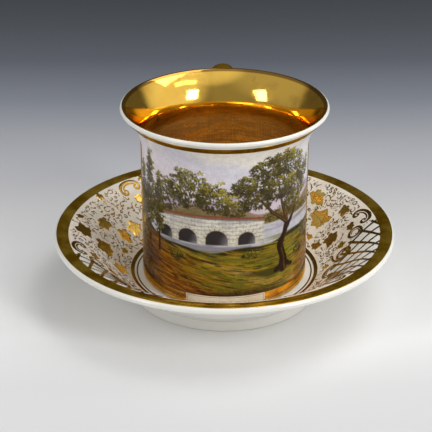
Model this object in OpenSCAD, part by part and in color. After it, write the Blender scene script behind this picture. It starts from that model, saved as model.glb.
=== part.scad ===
// Porcelain cup with a flared lip and a loop handle, standing in a deep saucer.
// Lengths are in millimetres. +Z is up, and the origin is on the axis at table level.
// The cup's painted front faces -Y, and its handle points along +Y.

/* [Saucer] */
// Diameter over the saucer's white edge
saucer_d = 153.8; // [150:0.2:164]
// Height of the rim above the table
saucer_h = 30.6; // [28:0.2:33]
// Wall of the saucer's flange
saucer_wall = 3.2; // [2.6:0.1:3.8]
// Steepness of the flange where it leaves the well
flange_start = 0.26; // [0.15:0.01:0.35]
// Steepness of the flange at the rim, below zero where it turns down a little
flange_end = -0.1; // [-0.2:0.01:0.1]
// Gap between the cup's body and the edge of the flat well it stands in
well_gap = 3.4; // [2.4:0.1:5]
// Height of the well's floor above the table
well_h = 9; // [8:0.1:10.4]
// Thickness of the saucer's floor
saucer_floor = 3.8; // [3:0.1:5]
// How far the foot ring stands outside the edge of the well
foot_out = 1.8; // [0.6:0.1:4]
// Width of the foot ring's bearing face
foot_w = 3.6; // [2.5:0.1:5]
// Width of the slope that blends the foot ring into the flange
foot_blend = 1; // [0.5:0.1:2]

/* [Cup] */
// Diameter of the cup's straight body
cup_d = 74.2; // [66:0.2:80]
// Height of the cup from its foot to the top of its lip
cup_h = 81.2; // [77:0.2:86]
// Diameter over the lip
lip_d = 91.6; // [88:0.2:95]
// Height of the flared collar under the lip
flare_h = 16; // [13:0.2:18]
// How late the collar turns outwards
flare_power = 2; // [1.6:0.1:2.4]
// Wall of the cup
cup_wall = 2; // [1.6:0.1:2.6]
// Thickness of the cup's floor
cup_floor = 3.5; // [2.6:0.1:5]
// Radius of the rounded corner inside, between the wall and the floor
cup_corner = 6; // [3:0.5:9]
// Radius of the rounded lower edge of the body
base_round = 1.6; // [1.2:0.1:2.4]
// Width of the cup's foot ring
cup_foot_w = 4; // [2.5:0.1:6]
// Height of the hollow under the cup
cup_foot_h = 1.2; // [0.8:0.1:2]

/* [Handle] */
// Width of the handle at the top
handle_w = 10; // [8:0.2:12]
// Width of the handle at its lower end
handle_low_w = 8; // [6.5:0.1:10]
// Thickness of the handle
handle_t = 5.5; // [4.6:0.1:6.2]
// Reach of the handle's centre line beyond the lip
handle_reach = 18.3; // [16:0.1:22]
// Depth of the upper root below the top of the lip
handle_upper = 21.2; // [19:0.1:25]
// How far above the lip the guide of the handle's upper curve lies
handle_crown = 2.1; // [-1:0.1:3]
// Depth of the handle's outermost point below the lip
handle_bend = 24.2; // [21:0.1:30]
// Height of the lower root above the cup's foot
handle_lower = 22; // [19:0.2:26]
// Share by which the handle swells at its roots
root_swell = 0.25; // [0.1:0.05:0.4]
// Thickness of the slip that joins the handle to the body
slip_t = 0.4; // [0.3:0.05:0.6]

/* [Gilding and enamel] */
// Thickness of the fired gold
gold_t = 0.15; // [0.1:0.01:0.2]
// Thickness of the fired enamel
enamel_t = 0.2; // [0.12:0.01:0.3]
// How far the inside gold reaches over the lip, in degrees from the outer face
lip_gold_edge = 132; // [120:1:160]
// White margin between the lip's centre line and the gold band under it
lip_margin = 1.7; // [1.3:0.1:2.6]
// Width of the gold band under the lip
lip_band_w = 2.8; // [1.8:0.1:3.6]
// Height of the gold base band above the cup's foot
base_band_h = 5.6; // [4:0.1:8]
// Lower limit of the base band on the rounded edge, in degrees from the foot
base_band_edge = 50; // [40:1:70]
// Angle of the painted panel around the cup
panel_turn = 152; // [140:2:240]
// Width of the gold lines at the ends of the panel
panel_line_w = 4; // [1:0.1:5]
// Angle of the bare caption label around the cup
label_turn = 55; // [40:1:70]
// Width of the gold band on the saucer's rim
rim_band_w = 4.9; // [4:0.1:8]
// How far the rim's gold turns over the edge, in degrees
rim_gold_edge = 15; // [5:1:30]
// Distance of the wide gold ring from the well's edge
wide_ring_gap = 0.8; // [0.4:0.1:1.5]
// Width of the wide gold ring around the well
wide_ring_w = 1.7; // [0.8:0.1:2.4]
// Distance of the fine gold ring inside the well's edge
fine_ring_gap = 0.2; // [0.1:0.1:0.8]
// Width of the fine gold ring
fine_ring_w = 0.6; // [0.3:0.1:0.8]
// Number of white reserves in the saucer's cream ground
reserve_count = 3; // [2:1:4]
// Direction of the first reserve, in degrees
reserve_turn = 103.5; // [90:0.5:120]
// Radius of the reserves' curved edge
reserve_r = 35; // [30:0.5:40]
// Width of the cream border between the reserves and the wide gold ring
reserve_gap = 6.2; // [4:0.2:12]

/* [Hidden] */
$fn = 96;

PORCELAIN = "#f3f0ea";
GOLD = "#c9962f";
CREAM = "#e9dcc3";
PAINT = "#8f8a4e";
SLIP = "#ddd8cd";
FRONT = -90;
BACK = 90;

// Evenly spaced values from a to b, and the same list without its first value
function stretch(a, b, n) = [for (i = [0:n]) a + (b - a) * i / n];
function onward(a, b, n) = [for (i = [1:n]) a + (b - a) * i / n];
function backward(list) = [for (i = [len(list) - 1:-1:0]) list[i]];

// Saucer: the flange's top face is a smooth curve from the well to the rim
well_r = cup_d / 2 + well_gap;
edge_r = saucer_wall / 2;
edge_turn = atan(flange_end);
rim_r = saucer_d / 2 - edge_r * (1 + sin(edge_turn));
flange_run = rim_r - well_r;
flange_rise = saucer_h - well_h;
foot_r = well_r + foot_out;
floor_under = well_h - saucer_floor;
band_in = rim_r - rim_band_w;
wide_in = well_r + wide_ring_gap;
wide_out = wide_in + wide_ring_w;
fine_out = well_r - fine_ring_gap;
fine_in = fine_out - fine_ring_w;
reserve_in = wide_out + reserve_gap;

function flange_z(r) =
    let (u = (r - well_r) / flange_run)
    well_h + flange_start * flange_run * u * (1 - u) * (1 - u)
        + flange_rise * u * u * (3 - 2 * u) - flange_end * flange_run * u * u * (1 - u);
function flange_angle(r) =
    let (u = (r - well_r) / flange_run)
    atan(flange_start * (1 - u) * (1 - 3 * u) + 6 * flange_rise / flange_run * u * (1 - u)
        + flange_end * u * (3 * u - 2));
function flange_point(r, lift) =
    let (slope = flange_angle(r)) [r - lift * sin(slope), flange_z(r) + lift * cos(slope)];
function edge_point(turn, lift) =
    flange_point(rim_r, -edge_r) + (edge_r + lift) * [sin(turn - edge_turn), cos(turn - edge_turn)];

ring_stations = [wide_in, wide_out];
ground_stations = stretch(wide_out, band_in, 12);
band_stations = stretch(band_in, rim_r, 3);
edge_stations = onward(0, rim_gold_edge, 2);

// Cup: the wall follows a centre line that is straight below the collar and flares above it
cup_z = well_h;
cup_r = cup_d / 2;
roll_r = cup_wall / 2;
body_mid = cup_r - roll_r;
lip_r = lip_d / 2;
lip_mid = lip_r - roll_r;
lip_z = cup_z + cup_h - roll_r;
flare_z = lip_z - flare_h;
floor_z = cup_z + cup_foot_h + cup_floor;
inner_r = cup_r - cup_wall;
cup_foot_in = cup_r - base_round - cup_foot_w;
band_hi = lip_z - lip_margin;
band_lo = band_hi - lip_band_w;
base_band_z = cup_z + base_band_h;

function flare_share(z) = max(0, (z - flare_z) / flare_h);
function wall_r(z) = body_mid + (lip_mid - body_mid) * pow(flare_share(z), flare_power);
function wall_angle(z) =
    atan((lip_mid - body_mid) * flare_power / flare_h * pow(flare_share(z), flare_power - 1));
function wall_point(z, out) =
    let (slope = wall_angle(z)) [wall_r(z) + out * cos(slope), z - out * sin(slope)];
function lip_point(turn, lift) =
    let (slope = wall_angle(lip_z))
    [lip_mid, lip_z] + (roll_r + lift) * [cos(slope - turn), -sin(slope - turn)];
function corner_point(turn, lift) =
    [inner_r - cup_corner, floor_z + cup_corner] + (cup_corner - lift) * [cos(turn), -sin(turn)];
function base_point(turn, lift) =
    [cup_r - base_round, cup_z + base_round] + (base_round + lift) * [sin(turn), -cos(turn)];

collar_stations = stretch(flare_z, band_lo, 8);
panel_stations = concat([base_band_z], collar_stations);
lip_band_stations = stretch(band_lo, band_hi, 3);
outer_stations = concat(panel_stations, onward(band_lo, band_hi, 3), onward(band_hi, lip_z, 2));
base_edge_stations = stretch(base_band_edge, 90, 3);

// Handle: two cubic curves in the plane x = 0, given as radius and height
handle_rings = 14;
handle_sides = 14;
root_bury = cup_wall + 1;
root_share = 0.16;
lower_turn_share = 0.55;
normal_step = 0.001;
lip_top = cup_z + cup_h;
reach_r = lip_r + handle_reach;
bend_z = lip_top - handle_bend;
lower_z = cup_z + handle_lower;
upper_root = [cup_r - root_bury, lip_top - handle_upper];
crown_in = [lip_r, lip_top + handle_crown];
crown_out = [reach_r, lip_top + handle_crown];
outer_bend = [reach_r, bend_z];
bend_low = [reach_r, (bend_z + lower_z) / 2];
lower_turn = [cup_r + (reach_r - cup_r) * lower_turn_share, lower_z + handle_t];
lower_root = [cup_r - root_bury, lower_z];

function bezier(a, b, c, d, t) =
    pow(1 - t, 3) * a + 3 * t * pow(1 - t, 2) * b + 3 * t * t * (1 - t) * c + pow(t, 3) * d;
function handle_path(k) = k < 0.5
    ? bezier(upper_root, crown_in, crown_out, outer_bend, 2 * k)
    : bezier(outer_bend, bend_low, lower_turn, lower_root, 2 * k - 1);
function handle_normal(k) =
    let (d = handle_path(min(1, k + normal_step)) - handle_path(max(0, k - normal_step)))
    [-d[1], d[0]] / norm(d);
function handle_swell(k) = 1 + root_swell * pow(max(0, 1 - min(k, 1 - k) / root_share), 2);
function handle_ring(k, lift) =
    let (p = handle_path(k), n = handle_normal(k), swell = handle_swell(k),
        half_w = (handle_w + (handle_low_w - handle_w) * k) / 2 * swell + lift,
        half_t = handle_t / 2 * swell + lift)
    [for (i = [0:handle_sides - 1]) let (a = 360 * i / handle_sides, m = half_t * sin(a))
        [half_w * cos(a), p[0] + n[0] * m, p[1] + n[1] * m]];

// Quads between two rings of points, split into triangles, faces with their other side out, and a ring's end
function ring_band(first, second) = [for (i = [0:handle_sides - 1]) let (j = (i + 1) % handle_sides)
    each [[first + i, second + i, second + j], [first + i, second + j, first + j]]];
function turned_over(faces) = [for (face = faces) backward(face)];
function ring_cap(first) = [for (i = [0:handle_sides - 1]) first + i];

// Body of revolution, thin layer on the wall and thin layer on the flange
module turned(points, turn = 360, facing = 0) {
    rotate([0, 0, facing - turn / 2])
        rotate_extrude(angle = turn)
            polygon(points);
}

module wall_layer(stations, thickness, turn = 360, facing = 0) {
    turned(concat([for (z = stations) wall_point(z, roll_r)],
        [for (z = backward(stations)) wall_point(z, roll_r + thickness)]), turn, facing);
}

module flange_layer(stations, thickness) {
    turned(concat([for (r = stations) flange_point(r, 0)],
        [for (r = backward(stations)) flange_point(r, thickness)]));
}

// The base band's section runs round the lower edge and up the body
module base_layer(thickness, turn, facing) {
    turned(concat([for (a = base_edge_stations) base_point(a, 0)], [wall_point(base_band_z, roll_r)],
        [wall_point(base_band_z, roll_r + thickness)],
        [for (a = backward(base_edge_stations)) base_point(a, thickness)]), turn, facing);
}

// Solid bounded by the cup's outer face, grown by a margin, for trimming the handle
module cup_blank(margin) {
    turned(concat([[0, lip_z], [0, base_band_z]],
        [for (z = outer_stations) wall_point(z, roll_r + margin)]));
}

module handle_sweep() {
    rings = [for (i = [0:2 * handle_rings]) each handle_ring(i / handle_rings / 2, 0)];
    last = 2 * handle_rings * handle_sides;
    polyhedron(rings, concat(
        [for (i = [0:2 * handle_rings - 1]) each ring_band(i * handle_sides, (i + 1) * handle_sides)],
        [backward(ring_cap(0))], [ring_cap(last)]));
}

module handle_tube() {
    count = (2 * handle_rings + 1) * handle_sides;
    rings = concat([for (i = [0:2 * handle_rings]) each handle_ring(i / handle_rings / 2, gold_t)],
        [for (i = [0:2 * handle_rings]) each handle_ring(i / handle_rings / 2, 0)]);
    last = 2 * handle_rings * handle_sides;
    polyhedron(rings, concat(
        [for (i = [0:2 * handle_rings - 1]) each ring_band(i * handle_sides, (i + 1) * handle_sides)],
        [for (i = [0:2 * handle_rings - 1])
            each turned_over(ring_band(count + i * handle_sides, count + (i + 1) * handle_sides))],
        ring_band(count, 0), ring_band(last, count + last)));
}

module slip_pad(low, high) {
    intersection() {
        handle_sweep();
        difference() {
            cup_blank(slip_t);
            cup_blank(0);
        }
        translate([0, 0, low])
            cylinder(r = lip_d, h = high - low);
    }
}

module saucer_body() {
    under_r = foot_r + foot_blend;
    under = flange_point(under_r, -saucer_wall);
    color(PORCELAIN)
        turned(concat([[0, floor_under], [0, well_h], [well_r, well_h]],
            [for (r = ring_stations) flange_point(r, 0)],
            [for (r = onward(wide_out, band_in, 12)) flange_point(r, 0)],
            [for (r = onward(band_in, rim_r, 3)) flange_point(r, 0)],
            [for (a = edge_stations) edge_point(a, 0)],
            [for (a = onward(rim_gold_edge, 180, 10)) edge_point(a, 0)],
            [for (r = onward(rim_r, under_r, 12)) flange_point(r, -saucer_wall)],
            [[foot_r, under[1] - (under[0] - foot_r)], [foot_r, 0], [foot_r - foot_w, 0],
                [foot_r - foot_w, floor_under]]));
}

module rim_gilding() {
    color(GOLD)
        turned(concat([for (r = band_stations) flange_point(r, 0)],
            [for (a = edge_stations) edge_point(a, 0)],
            [for (a = backward(edge_stations)) edge_point(a, gold_t)],
            [for (r = backward(band_stations)) flange_point(r, gold_t)]));
}

module flange_ground() {
    color(CREAM)
        difference() {
            flange_layer(ground_stations, enamel_t);
            for (i = [0:reserve_count - 1])
                rotate([0, 0, reserve_turn + 360 * i / reserve_count])
                    translate([reserve_in + reserve_r, 0, 0])
                        cylinder(r = reserve_r, h = 2 * saucer_h);
        }
}

module wide_well_ring() {
    color(GOLD)
        flange_layer(ring_stations, gold_t);
}

module fine_well_ring() {
    color(GOLD)
        turned([[fine_in, well_h], [fine_out, well_h], [fine_out, well_h + gold_t],
            [fine_in, well_h + gold_t]]);
}

module cup_body() {
    color(PORCELAIN)
        turned(concat(
            [[0, cup_z + cup_foot_h], [cup_foot_in, cup_z + cup_foot_h], [cup_foot_in, cup_z]],
            [for (a = stretch(0, base_band_edge, 3)) base_point(a, 0)],
            [for (a = onward(base_band_edge, 90, 3)) base_point(a, 0)],
            [for (z = outer_stations) wall_point(z, roll_r)],
            [for (a = onward(0, lip_gold_edge, 8)) lip_point(a, 0)],
            [for (a = onward(lip_gold_edge, 180, 3)) lip_point(a, 0)],
            [for (z = onward(lip_z, flare_z, 12)) wall_point(z, -roll_r)],
            [for (a = stretch(0, 90, 6)) corner_point(a, 0)],
            [[0, floor_z]]));
}

module interior_gilding() {
    lip_stations = stretch(lip_gold_edge, 180, 3);
    wall_stations = onward(lip_z, flare_z, 12);
    corner_stations = stretch(0, 90, 6);
    color(GOLD)
        turned(concat(
            [for (a = lip_stations) lip_point(a, 0)],
            [for (z = wall_stations) wall_point(z, -roll_r)],
            [for (a = corner_stations) corner_point(a, 0)],
            [[0, floor_z], [0, floor_z + gold_t]],
            [for (a = backward(corner_stations)) corner_point(a, gold_t)],
            [for (z = backward(wall_stations)) wall_point(z, -roll_r - gold_t)],
            [for (a = backward(lip_stations)) lip_point(a, gold_t)]));
}

module lip_band() {
    color(GOLD)
        wall_layer(lip_band_stations, gold_t);
}

module painted_panel() {
    color(PAINT)
        wall_layer(panel_stations, enamel_t, panel_turn, FRONT);
}

module panel_lines() {
    line_turn = panel_line_w / cup_r * 180 / PI;
    color(GOLD)
        for (side = [-1, 1])
            wall_layer(panel_stations, gold_t, line_turn, FRONT + side * (panel_turn + line_turn) / 2);
}

module base_band() {
    color(GOLD)
        base_layer(gold_t, 360 - label_turn, BACK);
}

module caption_label() {
    color(CREAM)
        base_layer(enamel_t, label_turn, FRONT);
}

module cup_handle() {
    color(PORCELAIN)
        difference() {
            handle_sweep();
            cup_blank(slip_t);
        }
}

module handle_gilding() {
    color(GOLD)
        difference() {
            handle_tube();
            cup_blank(slip_t);
        }
}

module upper_slip_joint() {
    color(SLIP)
        slip_pad(bend_z, lip_z);
}

module lower_slip_joint() {
    color(SLIP)
        slip_pad(base_band_z, bend_z);
}

saucer_body();
rim_gilding();
flange_ground();
wide_well_ring();
fine_well_ring();
cup_body();
interior_gilding();
lip_band();
painted_panel();
panel_lines();
base_band();
caption_label();
cup_handle();
handle_gilding();
upper_slip_joint();
lower_slip_joint();
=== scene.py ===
"""Looks of a porcelain cup standing in its saucer: glaze, gilding, painted front and studio.

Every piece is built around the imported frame, in metres, with +Z up and the painted front facing -Y.
"""

import logging
import math
from collections.abc import Iterable, Sequence
from dataclasses import dataclass, field, replace
from enum import Enum

import bmesh
import bpy
import numpy as np
from mathutils import Matrix, Quaternion, Vector


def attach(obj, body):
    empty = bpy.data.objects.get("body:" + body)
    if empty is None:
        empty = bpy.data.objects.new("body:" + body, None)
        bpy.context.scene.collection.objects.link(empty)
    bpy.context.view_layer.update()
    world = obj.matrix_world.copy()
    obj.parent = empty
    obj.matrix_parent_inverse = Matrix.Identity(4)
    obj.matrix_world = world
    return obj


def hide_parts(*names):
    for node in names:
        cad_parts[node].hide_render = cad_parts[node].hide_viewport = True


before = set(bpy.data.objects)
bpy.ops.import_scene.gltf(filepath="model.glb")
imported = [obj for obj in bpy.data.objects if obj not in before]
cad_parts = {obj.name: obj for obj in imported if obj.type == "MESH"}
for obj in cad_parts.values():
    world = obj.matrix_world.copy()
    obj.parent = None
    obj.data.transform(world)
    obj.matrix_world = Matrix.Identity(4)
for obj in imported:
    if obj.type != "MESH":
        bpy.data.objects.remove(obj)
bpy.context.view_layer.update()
LOG = logging.getLogger("cup_and_saucer")

MM = 0.001
FULL_TURN = 2 * math.pi
FRONT = math.radians(-90)
BACK = math.radians(90)
MERGE = 1e-6
SLIVER = 5e-6
CREASE = 40.0
SOFT_CREASE = 60.0
DISPLAY_WHITE = 255

Point = tuple[float, float]
Range = tuple[float, float]
Colour = tuple[float, float, float, float]
Piece = bpy.types.Object
Shape = bmesh.types.BMesh
Material = bpy.types.Material
NodeTree = bpy.types.NodeTree
Socket = bpy.types.NodeSocket
Edge = bmesh.types.BMEdge
Vert = bmesh.types.BMVert
Layer = bmesh.types.BMLayerItem
Stroke = tuple[np.ndarray, np.ndarray]
GOLD_EDGE: Colour = (1.0, 0.78, 0.40, 1.0)


class Body(Enum):
    """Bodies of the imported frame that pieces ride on."""

    SAUCER = "saucer"
    CUP = "cup"


class Slot(Enum):
    """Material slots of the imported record."""

    PORCELAIN = "porcelain"
    GOLD = "gold"
    INSIDE_GOLD = "inside_gold"
    CREAM = "cream_ground"
    PANEL = "panel_enamel"
    LABEL = "label_enamel"


class Flourish(Enum):
    """Strokes of the gilder's brush, by how the heading turns along them."""

    C_SCROLL = "c_scroll"
    S_SCROLL = "s_scroll"
    CURL = "curl"


class Pigment(Enum):
    """Colours of the painted view, as display values."""

    ZENITH = (213, 213, 227)
    HAZE = (234, 219, 219)
    CLOUD = (250, 244, 231)
    FAR_HILL = (164, 148, 176)
    NEAR_HILL = (146, 120, 104)
    WATER = (198, 198, 206)
    STONE = (228, 224, 210)
    STONE_SHADE = (104, 98, 104)
    BRICK = (134, 70, 44)
    MOSS = (44, 38, 11)
    LEAF = (104, 96, 27)
    SUNLIT = (180, 165, 38)
    GLINT = (216, 201, 60)
    BROWN_LEAF = (112, 82, 42)
    BARK = (112, 84, 40)
    OCHRE = (194, 136, 36)
    RUST = (153, 88, 18)
    EARTH = (96, 54, 12)
    DARK_EARTH = (42, 24, 10)
    GRASS = (113, 107, 30)

    @property
    def tone(self) -> np.ndarray:
        """The pigment as shares from 0 to 1."""
        return np.array(self.value) / DISPLAY_WHITE


def uncurved(shares: np.ndarray) -> np.ndarray:
    """Turn display shares from 0 to 1 into linear ones, by the usual curve of displays."""
    return np.where(shares <= 0.04045, shares / 12.92, ((shares + 0.055) / 1.055) ** 2.4)


def linear(red: float, green: float, blue: float) -> Colour:
    """Turn display values from 0 to 255 into a linear colour with full alpha."""
    return (*(float(v) for v in uncurved(np.array((red, green, blue)) / DISPLAY_WHITE)), 1.0)


def ease(values: np.ndarray, low: float, high: float) -> np.ndarray:
    """Smooth step of values from low to high."""
    share = np.clip((values - low) / (high - low), 0, 1)
    return share * share * (3 - 2 * share)


def spread(start: float, end: float, count: int) -> list[float]:
    """List count + 1 even values from start to end."""
    return [float(v) for v in np.linspace(start, end, count + 1)]


def turned(section: Sequence[Point], steps: int, turn: float = FULL_TURN, facing: float = 0.0) -> Shape:
    """Spin a section about the Z axis.

    Args:
        section: Points as radius and height. A section that starts and ends on the axis stays open there.
        steps: Number of steps of the spin.
        turn: Angle of the spin; a part turn gets its two end faces.
        facing: Direction of the middle of a part turn.

    Returns:
        The spun shape.
    """
    bm = bmesh.new()
    start = facing - turn / 2
    verts = [bm.verts.new((r * math.cos(start), r * math.sin(start), z)) for r, z in section]
    geom = [bm.edges.new(pair) for pair in zip(verts, verts[1:])]
    whole = turn > FULL_TURN - MERGE
    if section[0][0] > MERGE or section[-1][0] > MERGE:
        geom.append(bm.edges.new((verts[-1], verts[0])))
    if not whole:
        geom.append(bm.faces.new(verts))
    bmesh.ops.spin(bm, geom=verts + geom, cent=(0, 0, 0), axis=(0, 0, 1), angle=turn, steps=steps,
                   use_merge=whole)
    return bm


def finished(name: str, bm: Shape, crease: float = CREASE) -> Piece:
    """Close a shape's seams, point its faces outwards and make it an object at the origin.

    Args:
        name: Name of the piece.
        bm: The shape, which is used up.
        crease: Angle in degrees above which an edge stays sharp.

    Returns:
        The new object.
    """
    bmesh.ops.remove_doubles(bm, verts=bm.verts, dist=MERGE)
    bmesh.ops.recalc_face_normals(bm, faces=bm.faces)
    mesh = bpy.data.meshes.new(name)
    bm.to_mesh(mesh)
    bm.free()
    mesh.shade_smooth()
    mesh.set_sharp_from_angle(angle=math.radians(crease))
    piece = bpy.data.objects.new(name, mesh)
    bpy.context.scene.collection.objects.link(piece)
    return piece


def trimmed(piece: Piece, tool: Shape) -> Piece:
    """Cut a shape out of a piece.

    Args:
        piece: The piece to cut, which is used up.
        tool: Closed shape that is taken away, which is used up.

    Returns:
        The new piece, of the same name.
    """
    cutter = finished("trim_tool", tool)
    cut = piece.modifiers.new("trim", "BOOLEAN")
    cut.operation = "DIFFERENCE"
    cut.solver = "EXACT"
    cut.object = cutter
    bm = bmesh.new()
    bm.from_object(piece, bpy.context.evaluated_depsgraph_get())
    bmesh.ops.dissolve_degenerate(bm, dist=SLIVER, edges=bm.edges)
    name = piece.name
    for used in (piece, cutter):
        bpy.data.meshes.remove(used.data)
    return finished(name, bm)


def settle(piece: Piece, finish: Material, body: Body, slot: Slot, *nodes: str) -> None:
    """Dress a piece and hang it on its body.

    Args:
        piece: The finished piece.
        finish: Its material.
        body: The body that it rides on.
        slot: The record's slot for its finish; not used.
        nodes: Nodes of the frame that it stands for.
    """
    piece.data.materials.clear()
    piece.data.materials.append(finish)
    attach(piece, body.value)
    if nodes:
        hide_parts(*nodes)
    LOG.info("%s: %d faces on the %s", piece.name, len(piece.data.polygons), body.value)


class Board:
    """A shader tree with short calls for the nodes that the finishes share.

    A colour Mix node keeps its share and colours at mix_inputs, and its result at mix_output.
    """

    mix_inputs: tuple[int, ...] = (0, 6, 7)
    mix_output: int = 2

    def __init__(self, tree: NodeTree) -> None:
        """Keep the tree that nodes go to."""
        self.tree = tree

    def node(self, kind: str, **settings: object) -> bpy.types.Node:
        """Place a node.

        Args:
            kind: Blender's name of the node type.
            settings: Properties to set on it.

        Returns:
            The node.
        """
        made = self.tree.nodes.new(kind)
        for key, value in settings.items():
            setattr(made, key, value)
        return made

    def feed(self, socket: Socket, value: object) -> None:
        """Join an output to an input, or set the input's own value.

        Args:
            socket: The input.
            value: An output, or the input's own value.
        """
        if isinstance(value, Socket):
            self.tree.links.new(value, socket)
        else:
            socket.default_value = value

    def filled(self, made: bpy.types.Node, *values: object) -> bpy.types.NodeOutputs:
        """Feed a node's first inputs in their order.

        Args:
            made: The node.
            values: Values or outputs.

        Returns:
            The node's outputs.
        """
        for socket, value in zip(made.inputs, values):
            self.feed(socket, value)
        return made.outputs

    def fed(self, made: bpy.types.Node, **inputs: object) -> bpy.types.NodeOutputs:
        """Feed a node's inputs by name, with underscores for spaces.

        Args:
            made: The node.
            inputs: Values or outputs.

        Returns:
            The node's outputs.
        """
        for name, value in inputs.items():
            self.feed(made.inputs[name.replace("_", " ")], value)
        return made.outputs

    def place(self, group: NodeTree, **inputs: object) -> bpy.types.NodeOutputs:
        """Place a node group with its own values and return its outputs."""
        return self.fed(self.node("ShaderNodeGroup", node_tree=group), **inputs)

    def math(self, operation: str, first: object, second: object = 0.0) -> Socket:
        """Place a Math node for one or two values or outputs and return its result."""
        return self.filled(self.node("ShaderNodeMath", operation=operation), first, second)[0]

    def vector(self, operation: str, first: object, second: object = (0.0, 0.0, 0.0)) -> Socket:
        """Place a Vector Math node for one or two vectors or outputs and return its vector."""
        return self.filled(self.node("ShaderNodeVectorMath", operation=operation), first, second)["Vector"]

    def parts(self, vector: Socket) -> list[Socket]:
        """Split a vector into its x, y and z outputs."""
        return list(self.filled(self.node("ShaderNodeSeparateXYZ"), vector))

    def joined(self, x: object, y: object, z: object) -> Socket:
        """Make a vector of three values or outputs."""
        return self.filled(self.node("ShaderNodeCombineXYZ"), x, y, z)[0]

    def noise(self, vector: Socket, scale: object, detail: float = 3.0, roughness: float = 0.5) -> Socket:
        """Place a Noise Texture, by its features for each metre and its finer layers."""
        made = self.node("ShaderNodeTexNoise")
        return self.fed(made, Vector=vector, Scale=scale, Detail=detail, Roughness=roughness)[0]

    def cells(self, vector: Socket, scale: object) -> tuple[Socket, Socket]:
        """Place a Voronoi Texture and return its distance and its cell colour."""
        made = self.fed(self.node("ShaderNodeTexVoronoi"), Vector=vector, Scale=scale)
        return made["Distance"], made["Color"]

    def span(self, value: object, low: object, high: object, start: object = 0.0,
             end: object = 1.0) -> Socket:
        """Map a value smoothly from the range low to high to the range start to end."""
        made = self.node("ShaderNodeMapRange", interpolation_type="SMOOTHSTEP")
        return self.fed(made, Value=value, From_Min=low, From_Max=high, To_Min=start, To_Max=end)["Result"]

    def mix(self, share: object, first: object, second: object, blend: str = "MIX") -> Socket:
        """Mix two colours.

        Args:
            share: Share of the second colour.
            first, second: Colours or outputs.
            blend: Blender's name of the blend type.

        Returns:
            The mixed colour's output.
        """
        made = self.node("ShaderNodeMix", data_type="RGBA", blend_type=blend)
        for index, value in zip(self.mix_inputs, (share, first, second)):
            self.feed(made.inputs[index], value)
        return made.outputs[self.mix_output]


class FinishBoard(Board):
    """A material's tree, with its shader and its object coordinates ready."""

    def __init__(self, name: str, metallic: float = 0.0) -> None:
        """Make a material.

        Args:
            name: Name of the material.
            metallic: Constant metallic value of its shader.
        """
        self.material = bpy.data.materials.new(name)
        self.material.use_nodes = True
        super().__init__(self.material.node_tree)
        self.tree.nodes.clear()
        self.shader = self.node("ShaderNodeBsdfPrincipled")
        self.shader.inputs["Metallic"].default_value = metallic
        output = self.node("ShaderNodeOutputMaterial")
        self.tree.links.new(self.shader.outputs["BSDF"], output.inputs["Surface"])
        self.place_at = self.node("ShaderNodeTexCoord").outputs["Object"]

    def set(self, **inputs: object) -> None:
        """Feed the shader's inputs by name, with underscores for spaces."""
        self.fed(self.shader, **inputs)

    def bump(self, height: Socket, strength: float, depth: float) -> None:
        """Give the shader a bump, by a height output from 0 to 1, a strength and a depth in metres."""
        made = self.fed(self.node("ShaderNodeBump"), Height=height, Strength=strength, Distance=depth)
        self.set(Normal=made["Normal"])


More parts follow.
